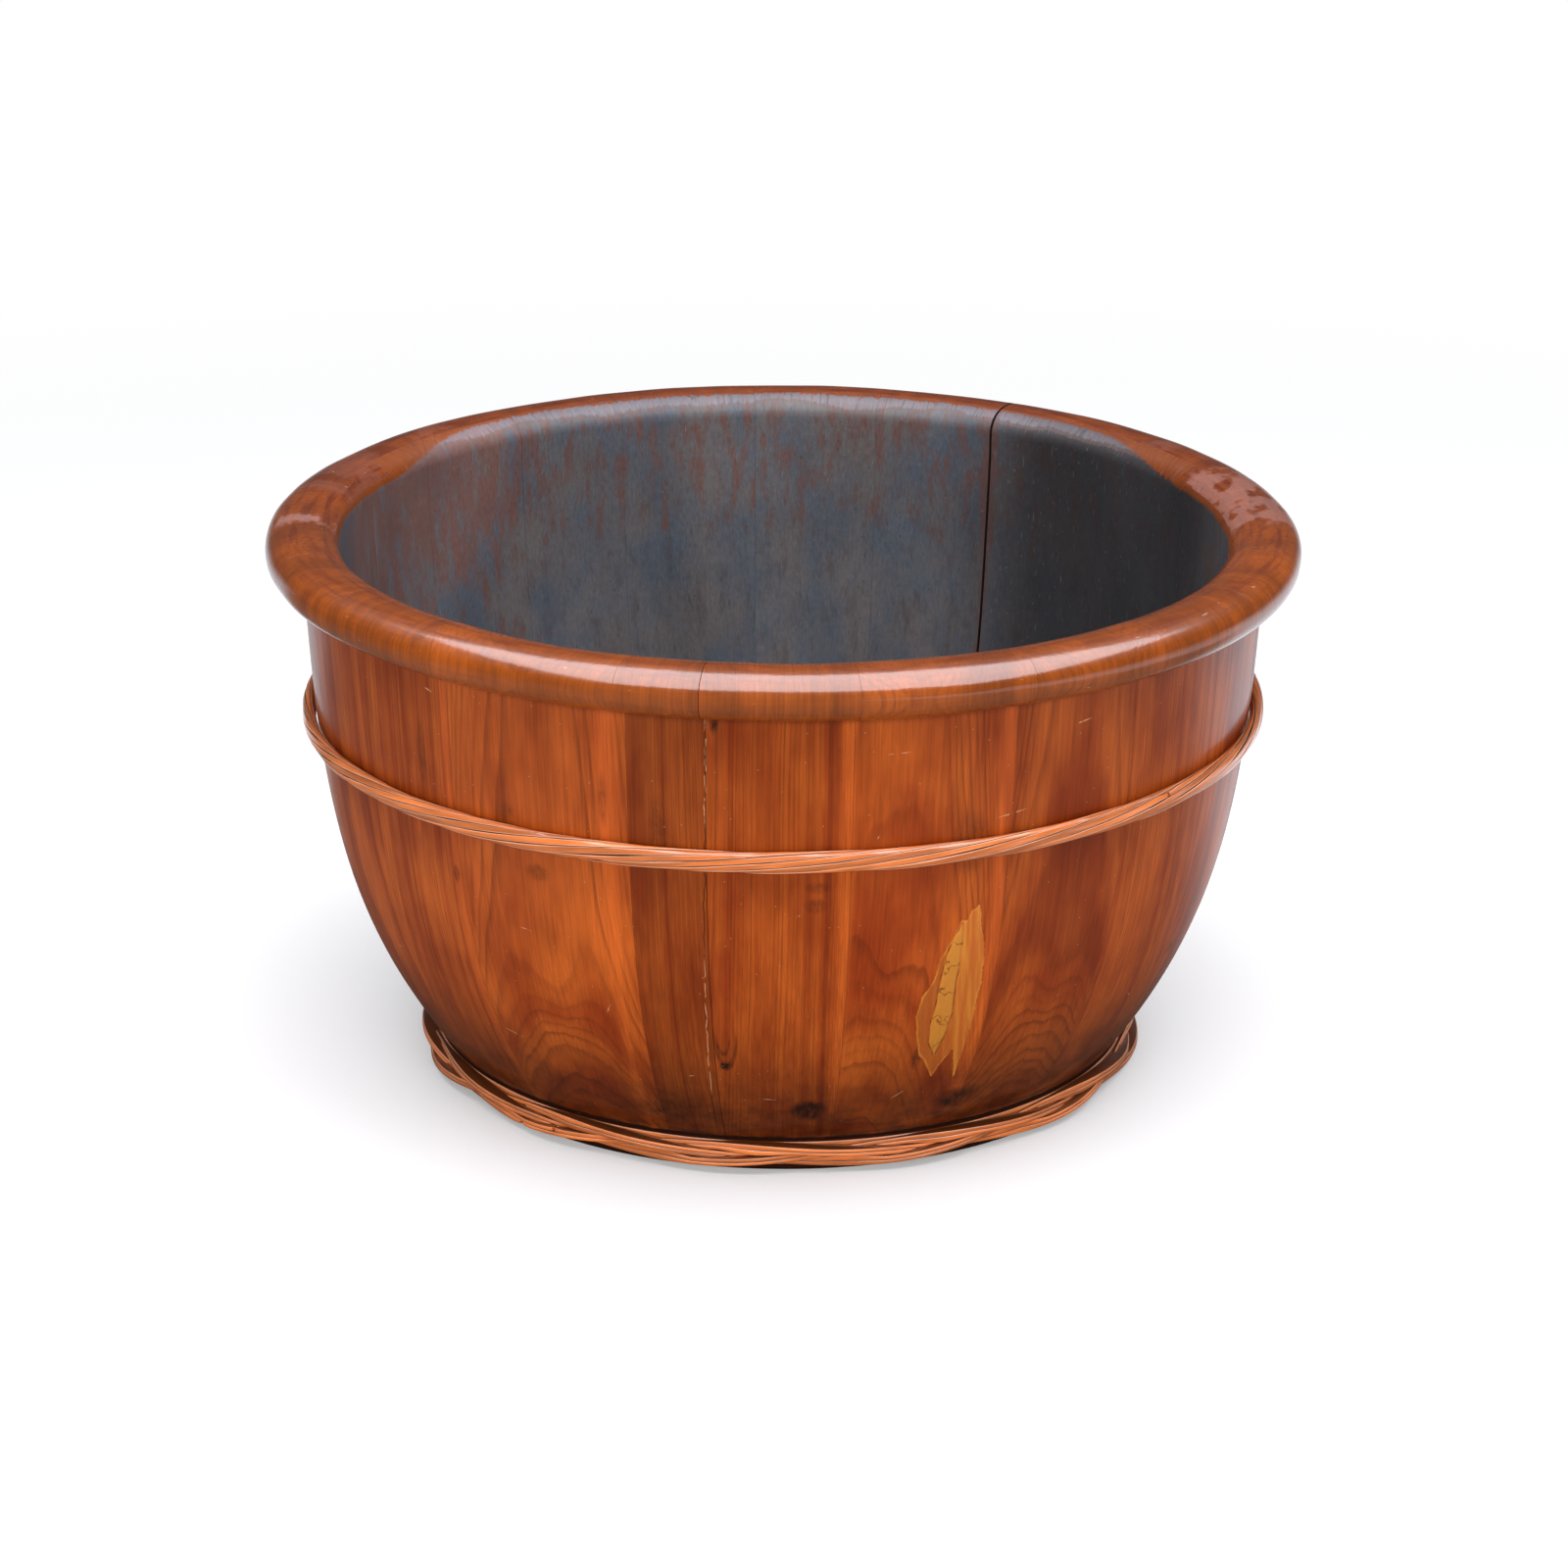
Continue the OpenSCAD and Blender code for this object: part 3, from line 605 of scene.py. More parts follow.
def varnished_lip(colours):
    """Glossier, yellower varnish of the carved lip, with painted reflections of windows at both sides,
    painted shade under the lip and darker over its top and towards its sides and back, and small chips.
    """
    net = Net("varnished_lip")
    colour, line, blotch, fibre = wood_base(net, colours, True)
    place, _, _, turn, bearing = stave_place(net)
    # Painted shade on the lip's underside; darker over its top and inner side and towards its sides and back,
    # painted shade together with darker varnish; patches of dirt
    under = net.fall(turn, -78.0, -30.0)
    inner = net.times(net.rise(turn, 40.0, 64.0), 0.18)
    patches = net.cloud(place, (1 / 48, 0, 1 / 13), 3.0, 0.6)
    mottle = net.times(net.rise(patches, 0.42, 0.68), net.ramp(turn, 20.0, 70.0, 0.15, 0.5))
    sides = net.times(net.rise(net.math("ABSOLUTE", bearing), 62.0, 112.0), 0.32)
    dirt_and_shade = net.math("ADD", net.add(net.times(under, 0.5), inner, sides), mottle, clamp=True)
    colour = net.mix(dirt_and_shade, colour, dimmed(colours.wood_red, 0.42))
    ragged = net.cloud(place, (1 / 9, 1 / 9, 1 / 12), 3.0, 0.6)
    # Painted reflections of bright windows across the lip at both sides, broken up by noise
    reflected = 0.0
    for centre, half, strength in REFLECTED_PATCHES:
        edge = net.add(net.near(bearing, centre), net.times(ragged, 5.0))
        reflected = net.math("MULTIPLY_ADD", net.fall(edge, half + 0.9, half + 3.2), strength, reflected)
    windows = net.fall(net.cloud(place, (1 / 24, 0, 1 / 38), 2.0), 0.5, 0.6)
    grains = net.ramp(net.cloud(place, (1 / 1.7, 0, 1 / 2.4), 1.0), 0.35, 0.65, 0.62, 1.05, "LINEAR")
    reflected = net.times(reflected, net.rise(turn, -30.0, 10.0), windows, grains)
    colour = net.mix(reflected, colour, colours.reflected)
    chips = net.rise(net.cloud(place, (1 / 7, 1 / 7, 1 / 9), 2.0), 0.73, 0.77)
    colour = net.mix(net.times(chips, 0.4), colour, colours.pale_wear)
    roughness = net.add(net.scale(fibre, 0.26, 0.4), net.times(reflected, 0.2))
    height_map = net.add(net.times(line, -0.3), net.times(fibre, -0.2), net.times(ragged, 1.2))
    return net.done(colour, roughness, net.bump(height_map, 0.00008), Coat_Weight=1.0, Coat_Roughness=0.17,
                    Coat_IOR=1.95, Specular_IOR_Level=0.05)


def lacquer(colours):
    """Charcoal lacquer inside, worn along the rim, with scratches, streaks and wood showing through, lighter
    on the left side and with painted shade on the right side.
    """
    net = Net("dark_lacquer")
    place, _, height, turn, bearing = stave_place(net)
    line, _, _ = growth_rings(net)
    streak = net.cloud(place, (1 / 9, 1 / 34, 0), 5.0, 0.7)
    fine_streak = net.cloud(place, (1 / 2.1, 1 / 5.5, 0), 3.0, 0.6)
    blotch = net.cloud(place, (1 / 44, 1 / 78, 0), 4.0, 0.6)
    colour = net.mix(net.rise(blotch, 0.36, 0.68), colours.lacquer, colours.lacquer_blue)
    colour = net.mix(net.ramp(streak, 0.45, 0.76, 0.0, 0.5), colour, colours.lacquer_dark_and_shade)
    right = net.hump(bearing, 84.0, 112.0, 140.0, 160.0)
    left = net.hump(bearing, -148.0, -132.0, -104.0, -92.0)
    near_joint = net.fall(net.near(bearing, 150.1), 0.3, 1.6)
    worn = net.add(net.times(left, 0.13), net.times(near_joint, 0.22),
                   net.ramp(height, 230.0, 330.0, 0.0, 0.15), net.cloud(place, (1 / 9, 1 / 34, 0), 5.0, 0.7))
    show = net.rise(worn, 0.6, 0.8)
    colour = net.mix(net.times(show, 0.8), colour, colours.lacquer_red)
    # Painted shade on the right side inside
    colour = net.mix(net.times(right, 0.85), colour, colours.lacquer_dark_and_shade)

    wander = net.wave(net.times(bearing, 0.08), 3.0)
    at_back = net.rise(net.math("ABSOLUTE", bearing), 112.0, 136.0)
    past = net.math("SUBTRACT", turn, net.add(net.scale(wander, 112.0, 160.0), net.times(fine_streak, 14.0)))
    bloom = net.times(net.fall(past, -5.0, 2.0), net.scale(at_back, 0.0, 0.6))
    colour = net.mix(net.times(net.fall(net.near(past, 4.0), 1.0, 6.0), at_back, 0.5), colour,
                     colours.lacquer_red)
    cracks = net.rise(net.cloud(place, (1 / 1.7, 1 / 30, 0), 2.0), 0.58, 0.68)
    bloom_colour = net.mix(net.times(cracks, 0.7), colours.worn_edge, colours.lacquer_dark_and_shade)
    colour = net.mix(net.times(bloom, net.scale(fine_streak, 0.5, 1.0)), colour, bloom_colour)

    bare_to = net.add(net.scale(at_back, 162.0, 106.0), net.times(wander, 12.0),
                      net.times(fine_streak, 30.0), -10.0)
    bare = net.fall(net.math("SUBTRACT", turn, bare_to), -2.0, 3.0)
    bare_colour = net.mix(net.times(line, 0.6), dimmed(colours.lip, 0.48), colours.wood_line)
    colour = net.mix(bare, colour, bare_colour)

    scratches = net.rise(net.cloud(place, (1 / 1.1, 1 / 13, 0), 1.0), 0.7, 0.76)
    long_one = net.spot(place, -108.2 * MM_PER_DEGREE, 326, 0.8, 36, 0.7)
    scratches = net.math("MAXIMUM", scratches, net.times(long_one, 1.6))
    dents = net.rise(net.cloud(place, (1 / 2.6, 1 / 3.4, 0), 2.0), 0.66, 0.74)
    colour = net.mix(net.times(scratches, 0.45), colour, colours.worn_edge)
    colour = net.mix(net.times(dents, 0.5), colour, colours.lacquer_dark_and_shade)
    cloudy = net.cloud(place, (1 / 80, 1 / 130, 0), 2.0)
    # Lighter on the left side inside
    brightness = net.times(net.ramp(fine_streak, 0.25, 0.75, 0.8, 1.2, "LINEAR"), net.scale(left, 1.0, 1.22),
                           net.ramp(cloudy, 0.3, 0.7, 0.86, 1.24, "LINEAR"))
    colour = net.lit(colour, brightness)
    specks = net.rise(net.cloud(place, (1 / 1.9, 1 / 2.8, 0), 1.0), 0.7, 0.78)
    colour = net.mix(net.times(specks, 0.5), colour, colours.worn_edge)
    roughness = net.scale(net.add(net.times(blotch, 0.5), net.times(fine_streak, 0.5)), 0.3, 0.56)
    height_map = net.add(net.times(fine_streak, 0.35), net.times(dents, -1.0), net.times(scratches, -0.4),
                         net.times(streak, 0.5))
    return net.done(colour, roughness, net.bump(height_map, 0.00012), Specular_IOR_Level=0.5)


def split_cane(colours, name, light):
    """Varnished cane: fine fibres along each splint, painted highlights along the edges, dark splits, and
    painted shade in the gaps between splints. Light is a brightness share, painted light, set higher for the
    lower hoop, which the floor lights less.
    """
    net = Net(name)
    strip = net.attribute("strip")
    across, _, tone = net.parts(strip)
    side = net.math("ABSOLUTE", across)
    fibre = net.cloud(strip, (5.0, 1 / 60, 40), 3.0, 0.6)
    patch = net.cloud(strip, (0.6, 1 / 36, 40), 2.0)
    split = net.rise(net.cloud(strip, (2.2, 1 / 110, 40), 1.0), 0.75, 0.78)
    colour = net.mix(net.ramp(fibre, 0.4, 0.75, 0.0, 0.15), colours.cane, colours.cane_dark)
    # The cane's brightness is scaled by light, a painted light share
    colour = net.lit(colour, net.times(net.ramp(patch, 0.3, 0.7, 0.78 * light, 1.2 * light),
                                       net.scale(tone, 0.7, 1.16)))
    # Painted highlights along both edges of each splint
    edge = net.hump(side, 0.7, 0.84, 0.91, 0.97)
    colour = net.mix(net.times(edge, net.scale(patch, 0.1, 0.9)), colour, colours.cane_edge_highlight)
    # Painted shade in the gaps between splints, with dark splits along them
    gap = net.math("MAXIMUM", net.times(split, 0.6), net.times(net.rise(side, 0.94, 1.0), 0.9))
    colour = net.mix(gap, colour, dimmed(colours.cane_dark, 0.12))
    height_map = net.add(net.times(fibre, -0.15), net.times(split, -1.0))
    return net.done(colour, net.scale(fibre, 0.24, 0.42), net.bump(height_map, 0.0001), Coat_Weight=1.0,
                    Coat_Roughness=0.12, Coat_IOR=2.0)


def wood_filler(colours):
    """Ochre filler: streaks of thick and thin in the smear, an olive plug with cracks across it, and a dark
    line round the plug: a crack with painted shade in its groove.
    """
    net = Net("wood_filler")
    inside, plug, climb = net.parts(net.attribute("filler"))
    place = net.node("ShaderNodeTexCoord").outputs["Object"]
    streak = net.cloud(place, (330, 0, 26), 2.0, 0.5)
    fine = net.cloud(place, (900, 900, 900), 2.0)
    across, _, _ = net.parts(place)
    left = net.fall(across, 0.1, 0.114)
    thick = net.add(net.ramp(streak, 0.35, 0.75, 0.0, 0.7), net.times(left, -0.2))
    colour = net.mix(net.math("ADD", thick, 0.1, clamp=True), colours.filler, colours.filler_pale)
    colour = net.mix(net.times(left, 0.6), colour, dimmed(colours.filler, 0.72))
    thick_edge = net.fall(net.near(inside, 1.1), 0.1, 1.0)
    colour = net.mix(net.times(thick_edge, net.rise(streak, 0.3, 0.6), 0.7), colour, colours.filler_pale)
    in_plug = net.rise(plug, -0.2, 0.5)
    plug_colour = net.mix(net.rise(fine, 0.35, 0.7), colours.filler_plug,
                          dimmed(colours.filler_pale, 0.85))
    colour = net.mix(in_plug, colour, plug_colour)
    # Dark line round the plug: a crack with painted shade in the groove there
    rim_line = net.times(net.fall(net.near(plug, -0.35), 0.1, 0.5),
                         net.rise(net.cloud(place, (300, 300, 120)), 0.4, 0.6))
    ragged = net.times(net.cloud(place, (140, 140, 140)), 1.6)
    wave = net.math("FRACT", net.add(net.times(climb, 7.0), ragged))
    cross = net.times(net.fall(net.near(wave, 0.5), 0.01, 0.05), in_plug)
    cracks = net.math("MAXIMUM", net.times(rim_line, 0.8), net.times(cross, 0.7))
    colour = net.mix(cracks, colour, dimmed(colours.cane_dark, 0.3))
    height_map = net.add(net.times(streak, 0.8), net.times(fine, 0.3), net.times(cracks, -1.5))
    return net.done(colour, net.scale(fine, 0.42, 0.62), net.bump(height_map, 0.0002))


def floor_lacquer(colours):
    """Dark lacquered floor boards with their grain along Y."""
    net = Net("lacquered_floor")
    place = net.node("ShaderNodeTexCoord").outputs["Object"]
    grain = net.cloud(place, (380, 11, 380), 3.0, 0.6)
    blotch = net.cloud(place, (17, 17, 17), 3.0)
    colour = net.mix(net.rise(blotch, 0.35, 0.68), colours.lacquer, colours.lacquer_blue)
    colour = net.mix(net.rise(grain, 0.42, 0.7), colour, colours.lacquer_dark_and_shade)
    worn = net.rise(net.cloud(place, (45, 14, 45), 4.0, 0.65), 0.58, 0.74)
    colour = net.mix(net.times(worn, 0.7), colour, colours.lacquer_red)
    speck = net.rise(net.cloud(place, (420, 420, 420), 2.0), 0.7, 0.76)
    colour = net.mix(net.times(speck, 0.4), colour, colours.worn_edge)
    height_map = net.add(net.times(grain, 0.8), net.times(speck, -0.6))
    return net.done(colour, net.scale(blotch, 0.34, 0.58), net.bump(height_map, 0.00015))


def bamboo(colours):
    """Bamboo pegs, hidden in the joints."""
    net = Net("bamboo")
    place = net.node("ShaderNodeTexCoord").outputs["Object"]
    fibre = net.cloud(place, (80, 1250, 1250), 2.0)
    colour = net.mix(net.rise(fibre, 0.35, 0.7), colours.bamboo, dimmed(colours.bamboo, 0.55))
    return net.done(colour, net.scale(fibre, 0.5, 0.7), net.bump(fibre, 0.0001))


def joint_wood(colours):
    """Dark bare wood on the sides of the staves, seen in the open joint."""
    return Net("joint_wood").done(colours.joint, 0.8)


def joint_width(k, sizes):
    """Width of a joint's gap, in metres."""
    if k == OPEN_JOINT:
        return sizes.open_joint
    return sizes.hairline if k % len(STAVE_SHARES) == HAIRLINE_JOINT else sizes.glue_line


def joint_easing(k):
    """How far the wood is worn back along a joint's edges, in metres."""
    if k == OPEN_JOINT:
        return 0.7 * MM
    return 0.15 * MM if k % len(STAVE_SHARES) == HAIRLINE_JOINT else 0.06 * MM


def lift(bearing, z, turn):
    """How far the rings are lifted by knots and figures, in metres."""
    total = 0
    for b, height, half_x, half_z, rise in FIGURES:
        x = ((bearing - b + 180) % 360 - 180) * MM_PER_DEGREE / half_x
        y = (z / MM - height) / half_z
        total += rise * MM * math.exp(-1.6 * (x * x + y * y))
    return total * (1 - smooth(turn, -80, 0))


def make_stave(tub, k, materials):
    """One stave from foot to lip, spun from the tub's section and eased along its two joints."""
    sizes = tub.sizes
    section = tub.section()
    left, right = tub.joints[k - 1], tub.joints[k]
    start = left + math.degrees(joint_width(k - 1, sizes) / 2 / tub.wall_r)
    end = right - math.degrees(joint_width(k, sizes) / 2 / tub.wall_r)
    steps = round(end - start)
    bm, number, ends = closed_spin([(r, z) for r, z, turn in section], start, end - start, steps)

    tone, heart_x, heart_y = STAVE_WOOD[k - 1]
    middle = (left + right) / 2
    whole_turn = 360 if middle > 180 else 0
    largest_step = 0.1
    step_out = random.uniform(-largest_step, largest_step) * MM
    log = bm.verts.layers.float_vector.new("log")
    place = bm.verts.layers.float_vector.new("place")
    shade = bm.verts.layers.float.new("tone")
    count = len(section)
    for vertex in bm.verts:
        i = vertex[number]
        r, z, turn = section[i]
        before, after = section[i - 1], section[(i + 1) % count]
        tangent = Vector((after[0] - before[0], after[1] - before[1])).normalized()
        bearing = bearing_from(start, vertex.co)
        out = tub.wobble(bearing, r, z, turn)
        fade = smooth(z, *WAVY_FROM) * (1 - 0.8 * smooth(turn, -90, -60))
        out += step_out * fade
        vertex.co = around(bearing, r + out * tangent.y, z - out * tangent.x)
        swing = math.radians(bearing - middle)
        sunk = HOLLOW * (r * math.cos(swing) - tub.wall_r)
        vertex[log] = (r * math.sin(swing) / MM - heart_x, (sunk + lift(bearing, z, turn)) / MM + heart_y,
                       z / MM + 1000 * k)
        vertex[place] = ((bearing - whole_turn) * MM_PER_DEGREE, z / MM, turn)
        vertex[shade] = tone

    outside_wall, carved_lip, lacquered, in_joint = range(4)
    for face in bm.faces:
        turn = min(vertex[place].z for vertex in face.verts)
        aside = max(abs(vertex[place].x) for vertex in face.verts) / MM_PER_DEGREE
        face.material_index = carved_lip if turn > tub.lip_from - 1 else outside_wall
        if turn > (LACQUER_FROM if aside > LACQUER_BACK else LACQUER_LOW) - 1:
            face.material_index = lacquered
        if face in ends:
            face.material_index = in_joint
    for cap in ends:
        first = cap.verts[0][place].x < (middle - whole_turn) * MM_PER_DEGREE
        worn = joint_easing(k - 1 if first else k)
        bmesh.ops.bevel(bm, geom=list(cap.edges), offset=worn, offset_type="OFFSET", segments=2,
                        profile=0.5, affect="EDGES", material=-1, clamp_overlap=True)
    bmesh.ops.recalc_face_normals(bm, faces=bm.faces)
    name = f"stave_{k}"
    return finished(f"{name}_varnished", bm, materials, name, sharp=18)


def lay_strip(node, outline, cut_at, end_gap, steps, lay, material):
    """A cane splint: its section is spun round the tub, then each ring is laid where the hoop takes it.

    The gap between its cut ends is an angle in radians.
    """
    half_gap = math.degrees(end_gap / 2)
    start, sweep = cut_at + half_gap, 360 - 2 * half_gap
    tone = random.random()
    ring_r, reach = 0.3, 0.01
    outer = [(ring_r + x * reach, y * reach) for x, y in outline]
    bm, number, _ = closed_spin(outer, start, sweep, steps)
    strip = bm.verts.layers.float_vector.new("strip")
    for vertex in bm.verts:
        across, out = outline[vertex[number]]
        bearing = bearing_from(start, vertex.co)
        vertex.co = lay(bearing, across, out, min(bearing - start, start + sweep - bearing))
        buried = 1.1 if out < 0.5 else across
        vertex[strip] = (buried, math.radians(bearing) * ring_r / MM, tone)
    bmesh.ops.recalc_face_normals(bm, faces=bm.faces)
    return finished(f"{node}_cane", bm, [material], node, sharp=50)


def circle_noise(bearing, turns, seed):
    """Noise from -1 to 1 that joins up after a whole turn of the tub."""
    angle = math.radians(bearing)
    return noise.noise(Vector((math.cos(angle) * turns, math.sin(angle) * turns, seed)))


# Sections of the splints, as (share across, share out): the twisted hoop's slices, and the flat plaited ones
SLICE = [(-1.0, 0.36), (-1.0, 0.8), (-0.97, 0.89), (-0.88, 0.95), (-0.7, 0.97), (-0.35, 0.965), (0.0, 0.96),
         (0.35, 0.965), (0.7, 0.97), (0.88, 0.95), (0.97, 0.89), (1.0, 0.8), (1.0, 0.36)]
FLAT = [(-1.0, 0.0), (-1.0, 0.55), (-0.9, 0.82), (-0.6, 0.96), (0.0, 1.0), (0.6, 0.96), (0.9, 0.82),
        (1.0, 0.55), (1.0, 0.0)]


def make_rope_splint(tub, i, material):
    """One splint of the twisted hoop, a slice of the rope that climbs round it to the right."""
    sizes = tub.sizes
    count = len(ROPE_ENDS)
    width = 360 / count
    slack = math.degrees(sizes.splint_gap / 2 / ((sizes.rope_h + sizes.rope_t) / 4))

    def edge(bearing, side):
        """Bearing of the splint's edge in the rope's section, shared with its neighbour but for the gap."""
        seed = (i - 1 if side < 0 else i % count) * 3.7
        wander = 7 * circle_noise(bearing, 4, seed)
        gap = slack * (1 + 4.0 * max(0.0, circle_noise(bearing, 9, seed + 50)))
        return side * width / 2 + wander - side * gap

    def lay(bearing, across, out, from_end):
        """Place of a point of the section at a bearing, so many degrees from the nearer cut end."""
        tucked = 1 - 0.3 * math.exp(-(from_end / 1.3) ** 2)
        share = out * tucked * (0.99 + 0.13 * circle_noise(bearing, 5, i * 9.1))
        middle = (edge(bearing, 1) + edge(bearing, -1)) / 2
        half = (edge(bearing, 1) - edge(bearing, -1)) / 2
        turn = math.radians(i * width + sizes.rope_twists * bearing + middle + across * half)
        level = sizes.rope_z + sizes.rope_rise * math.sin(math.radians(bearing))
        up = sizes.rope_h / 2 * share * math.sin(turn)
        lean = (tub.outer_r(level + MM) - tub.outer_r(level - MM)) / 2 / MM
        seat = tub.outer_r(level) + lean * up + sizes.hoop_gap
        return around(bearing, seat + sizes.rope_t / 2 * (1 + share * math.cos(turn)), level + up)

    return lay_strip(f"upper_hoop_splint_{i}", SLICE, ROPE_ENDS[i - 1], sizes.end_gap / tub.wall_r,
                     WOVEN_STEPS, lay, material)


def make_plait_splint(tub, i, material):
    """One splint of the plaited hoop, which swings up and down and weaves out and in."""
    sizes = tub.sizes
    per_strand = len(PLAIT_ENDS) // STRANDS
    strand, order = divmod(i - 1, per_strand)
    swing = sizes.plait_h / STRANDS
    pitch = swing / per_strand
    weave = 1.8 * sizes.strand_t
    middle_r = tub.foot_r + sizes.hoop_gap + sizes.core_t + sizes.splint_gap + weave + sizes.strand_t / 2
    middle_z = sizes.plait_low + sizes.plait_h / 2
    plait_top = -4

    def lay(bearing, across, out, from_end):
        """Place of a point of the section at a bearing, so many degrees from the nearer cut end."""
        wave = math.radians(sizes.plait_waves * (bearing - plait_top) - 360 / STRANDS * strand)
        bend = math.copysign(1, math.cos(wave))
        away = math.acos(abs(math.cos(wave)))
        hole = swing * (math.cos(away) + math.cos(away + math.pi / 3) - 1) - sizes.splint_gap
        wide = pitch + max(0.0, hole) / per_strand
        half = (wide - sizes.splint_gap * (1 + 0.8 * circle_noise(bearing, 7, i * 5.3))) / 2
        row = (order - (per_strand - 1) / 2) * wide - bend * (wide - pitch) * per_strand / 2
        z = middle_z + swing * math.cos(wave) + row + across * half
        r = middle_r + weave * math.sin(2 * wave) + sizes.strand_t * (out - 0.5)
        if out == 0:
            return around(bearing, tub.foot_r + sizes.hoop_gap + 0.8 * sizes.core_t, z)
        tucked = 0.8 * MM * math.exp(-(from_end / 0.8) ** 2)
        return around(bearing, r - tucked, z)

    return lay_strip(f"lower_hoop_splint_{i}", FLAT, PLAIT_ENDS[i - 1], sizes.end_gap / middle_r,
                     WOVEN_STEPS, lay, material)


def make_core_splint(tub, i, material):
    """One straight splint of the lower hoop, between the foot and the plait."""
    sizes = tub.sizes
    pitch = sizes.plait_h / len(CORE_ENDS)

    def lay(bearing, across, out, from_end):
        """Place of a point of the section at a bearing, so many degrees from the nearer cut end."""
        half = (pitch - sizes.splint_gap) / 2
        z = sizes.plait_low + (i - 0.5) * pitch + across * half
        return around(bearing, tub.foot_r + sizes.hoop_gap + out * sizes.core_t, z)

    return lay_strip(f"lower_hoop_core_{i}", FLAT, CORE_ENDS[i - 1], sizes.end_gap / tub.foot_r,
                     STRAIGHT_STEPS, lay, material)


def edge_distance(x, y, outline):
    """Distance from a point to an outline, above 0 inside it."""
    point = Vector((x, y))
    nearest = 1e9
    inside = False
    for i, corner in enumerate(outline):
        a, b = Vector(outline[i - 1]), Vector(corner)
        along = b - a
        share = max(0.0, min(1.0, (point - a).dot(along) / along.length_squared))
        nearest = min(nearest, (a + along * share - point).length)
        if (a.y > y) != (b.y > y) and x < a.x + (y - a.y) / (b.y - a.y) * (b.x - a.x):
            inside = not inside
    return nearest if inside else -nearest


def make_filler(tub, material):
    """The filler patch: a fine grid cut to the smear's ragged outline and pressed onto the wall."""
    sizes = tub.sizes
    patch_bearing = tub.joints[1] + 0.7 * (tub.joints[2] - tub.joints[1])
    smear = [(x * sizes.patch_w, y * sizes.patch_h / 2) for x, y in SMEAR]
    plug = [(x * sizes.patch_w, y * sizes.patch_h / 2) for x, y in PLUG]
    bm = bmesh.new()
    bmesh.ops.create_grid(bm, x_segments=76, y_segments=236, size=0.5)
    for vertex in bm.verts:
        vertex.co = Vector((vertex.co.x * sizes.patch_w * 1.1, vertex.co.y * sizes.patch_h * 1.06, 0))
    filler = bm.verts.layers.float_vector.new("filler")
    outside = []
    for vertex in bm.verts:
        x, y = vertex.co.x, vertex.co.y
        ragged = Vector((x * 260, y * 70, 0))
        wander = 1.1 * MM * noise.noise(ragged) + 0.5 * MM * noise.noise(ragged * 3.1)
        edge = edge_distance(x, y, smear) + wander
        bulge = edge_distance(x + wander * 0.4, y, plug)
        vertex[filler] = (edge / MM, bulge / MM, y / sizes.patch_h + 0.5)
        if edge < 0:
            outside.append(vertex)
            continue
        height = sizes.smear_t * smooth(edge, -0.2 * MM, 1.6 * MM)
        height *= 0.75 + 0.5 * noise.noise(Vector((x * 420, y * 60, 5)))
        height += (sizes.plug_proud - sizes.smear_t * 0.4) * smooth(bulge, -0.2 * MM, 1.2 * MM)
        height -= 0.3 * MM * math.exp(-((bulge + 0.5 * MM) / (0.45 * MM)) ** 2)
        height += 0.18 * MM * noise.noise(Vector((x * 300, y * 180, 9))) * smooth(bulge, 0, MM)
        z = sizes.patch_z + y
        r = tub.outer_r(z)
        bearing = patch_bearing + math.degrees(math.asin(x / r))
        r += tub.wobble(bearing, r, z, -90) + max(height, 0.05 * MM)
        vertex.co = around(bearing, r, z)
    bmesh.ops.delete(bm, geom=outside, context="VERTS")
    bmesh.ops.recalc_face_normals(bm, faces=bm.faces)
    if bm.faces[0].normal.dot(around(patch_bearing, 1, 0)) < 0:
        bmesh.ops.reverse_faces(bm, faces=bm.faces)
    bmesh.ops.solidify(bm, geom=list(bm.faces), thickness=0.5 * MM)
    bmesh.ops.recalc_face_normals(bm, faces=bm.faces)
    return finished("filler_patch_smear", bm, [material], "filler_patch", sharp=60)


def soft_box(name, place, aim, width, height, power, colour=(1, 1, 1)):
    """A softbox that shines from its place towards a point."""
    light = bpy.data.lights.new(name, "AREA")
    light.shape = "RECTANGLE"
    light.size, light.size_y = width, height
    light.energy = power
    light.color = colour
    box = bpy.data.objects.new(name, light)
    box.location = place
    box.rotation_euler = (Vector(aim) - Vector(place)).to_track_quat("-Z", "Y").to_euler()
    bpy.context.scene.collection.objects.link(box)
    return box


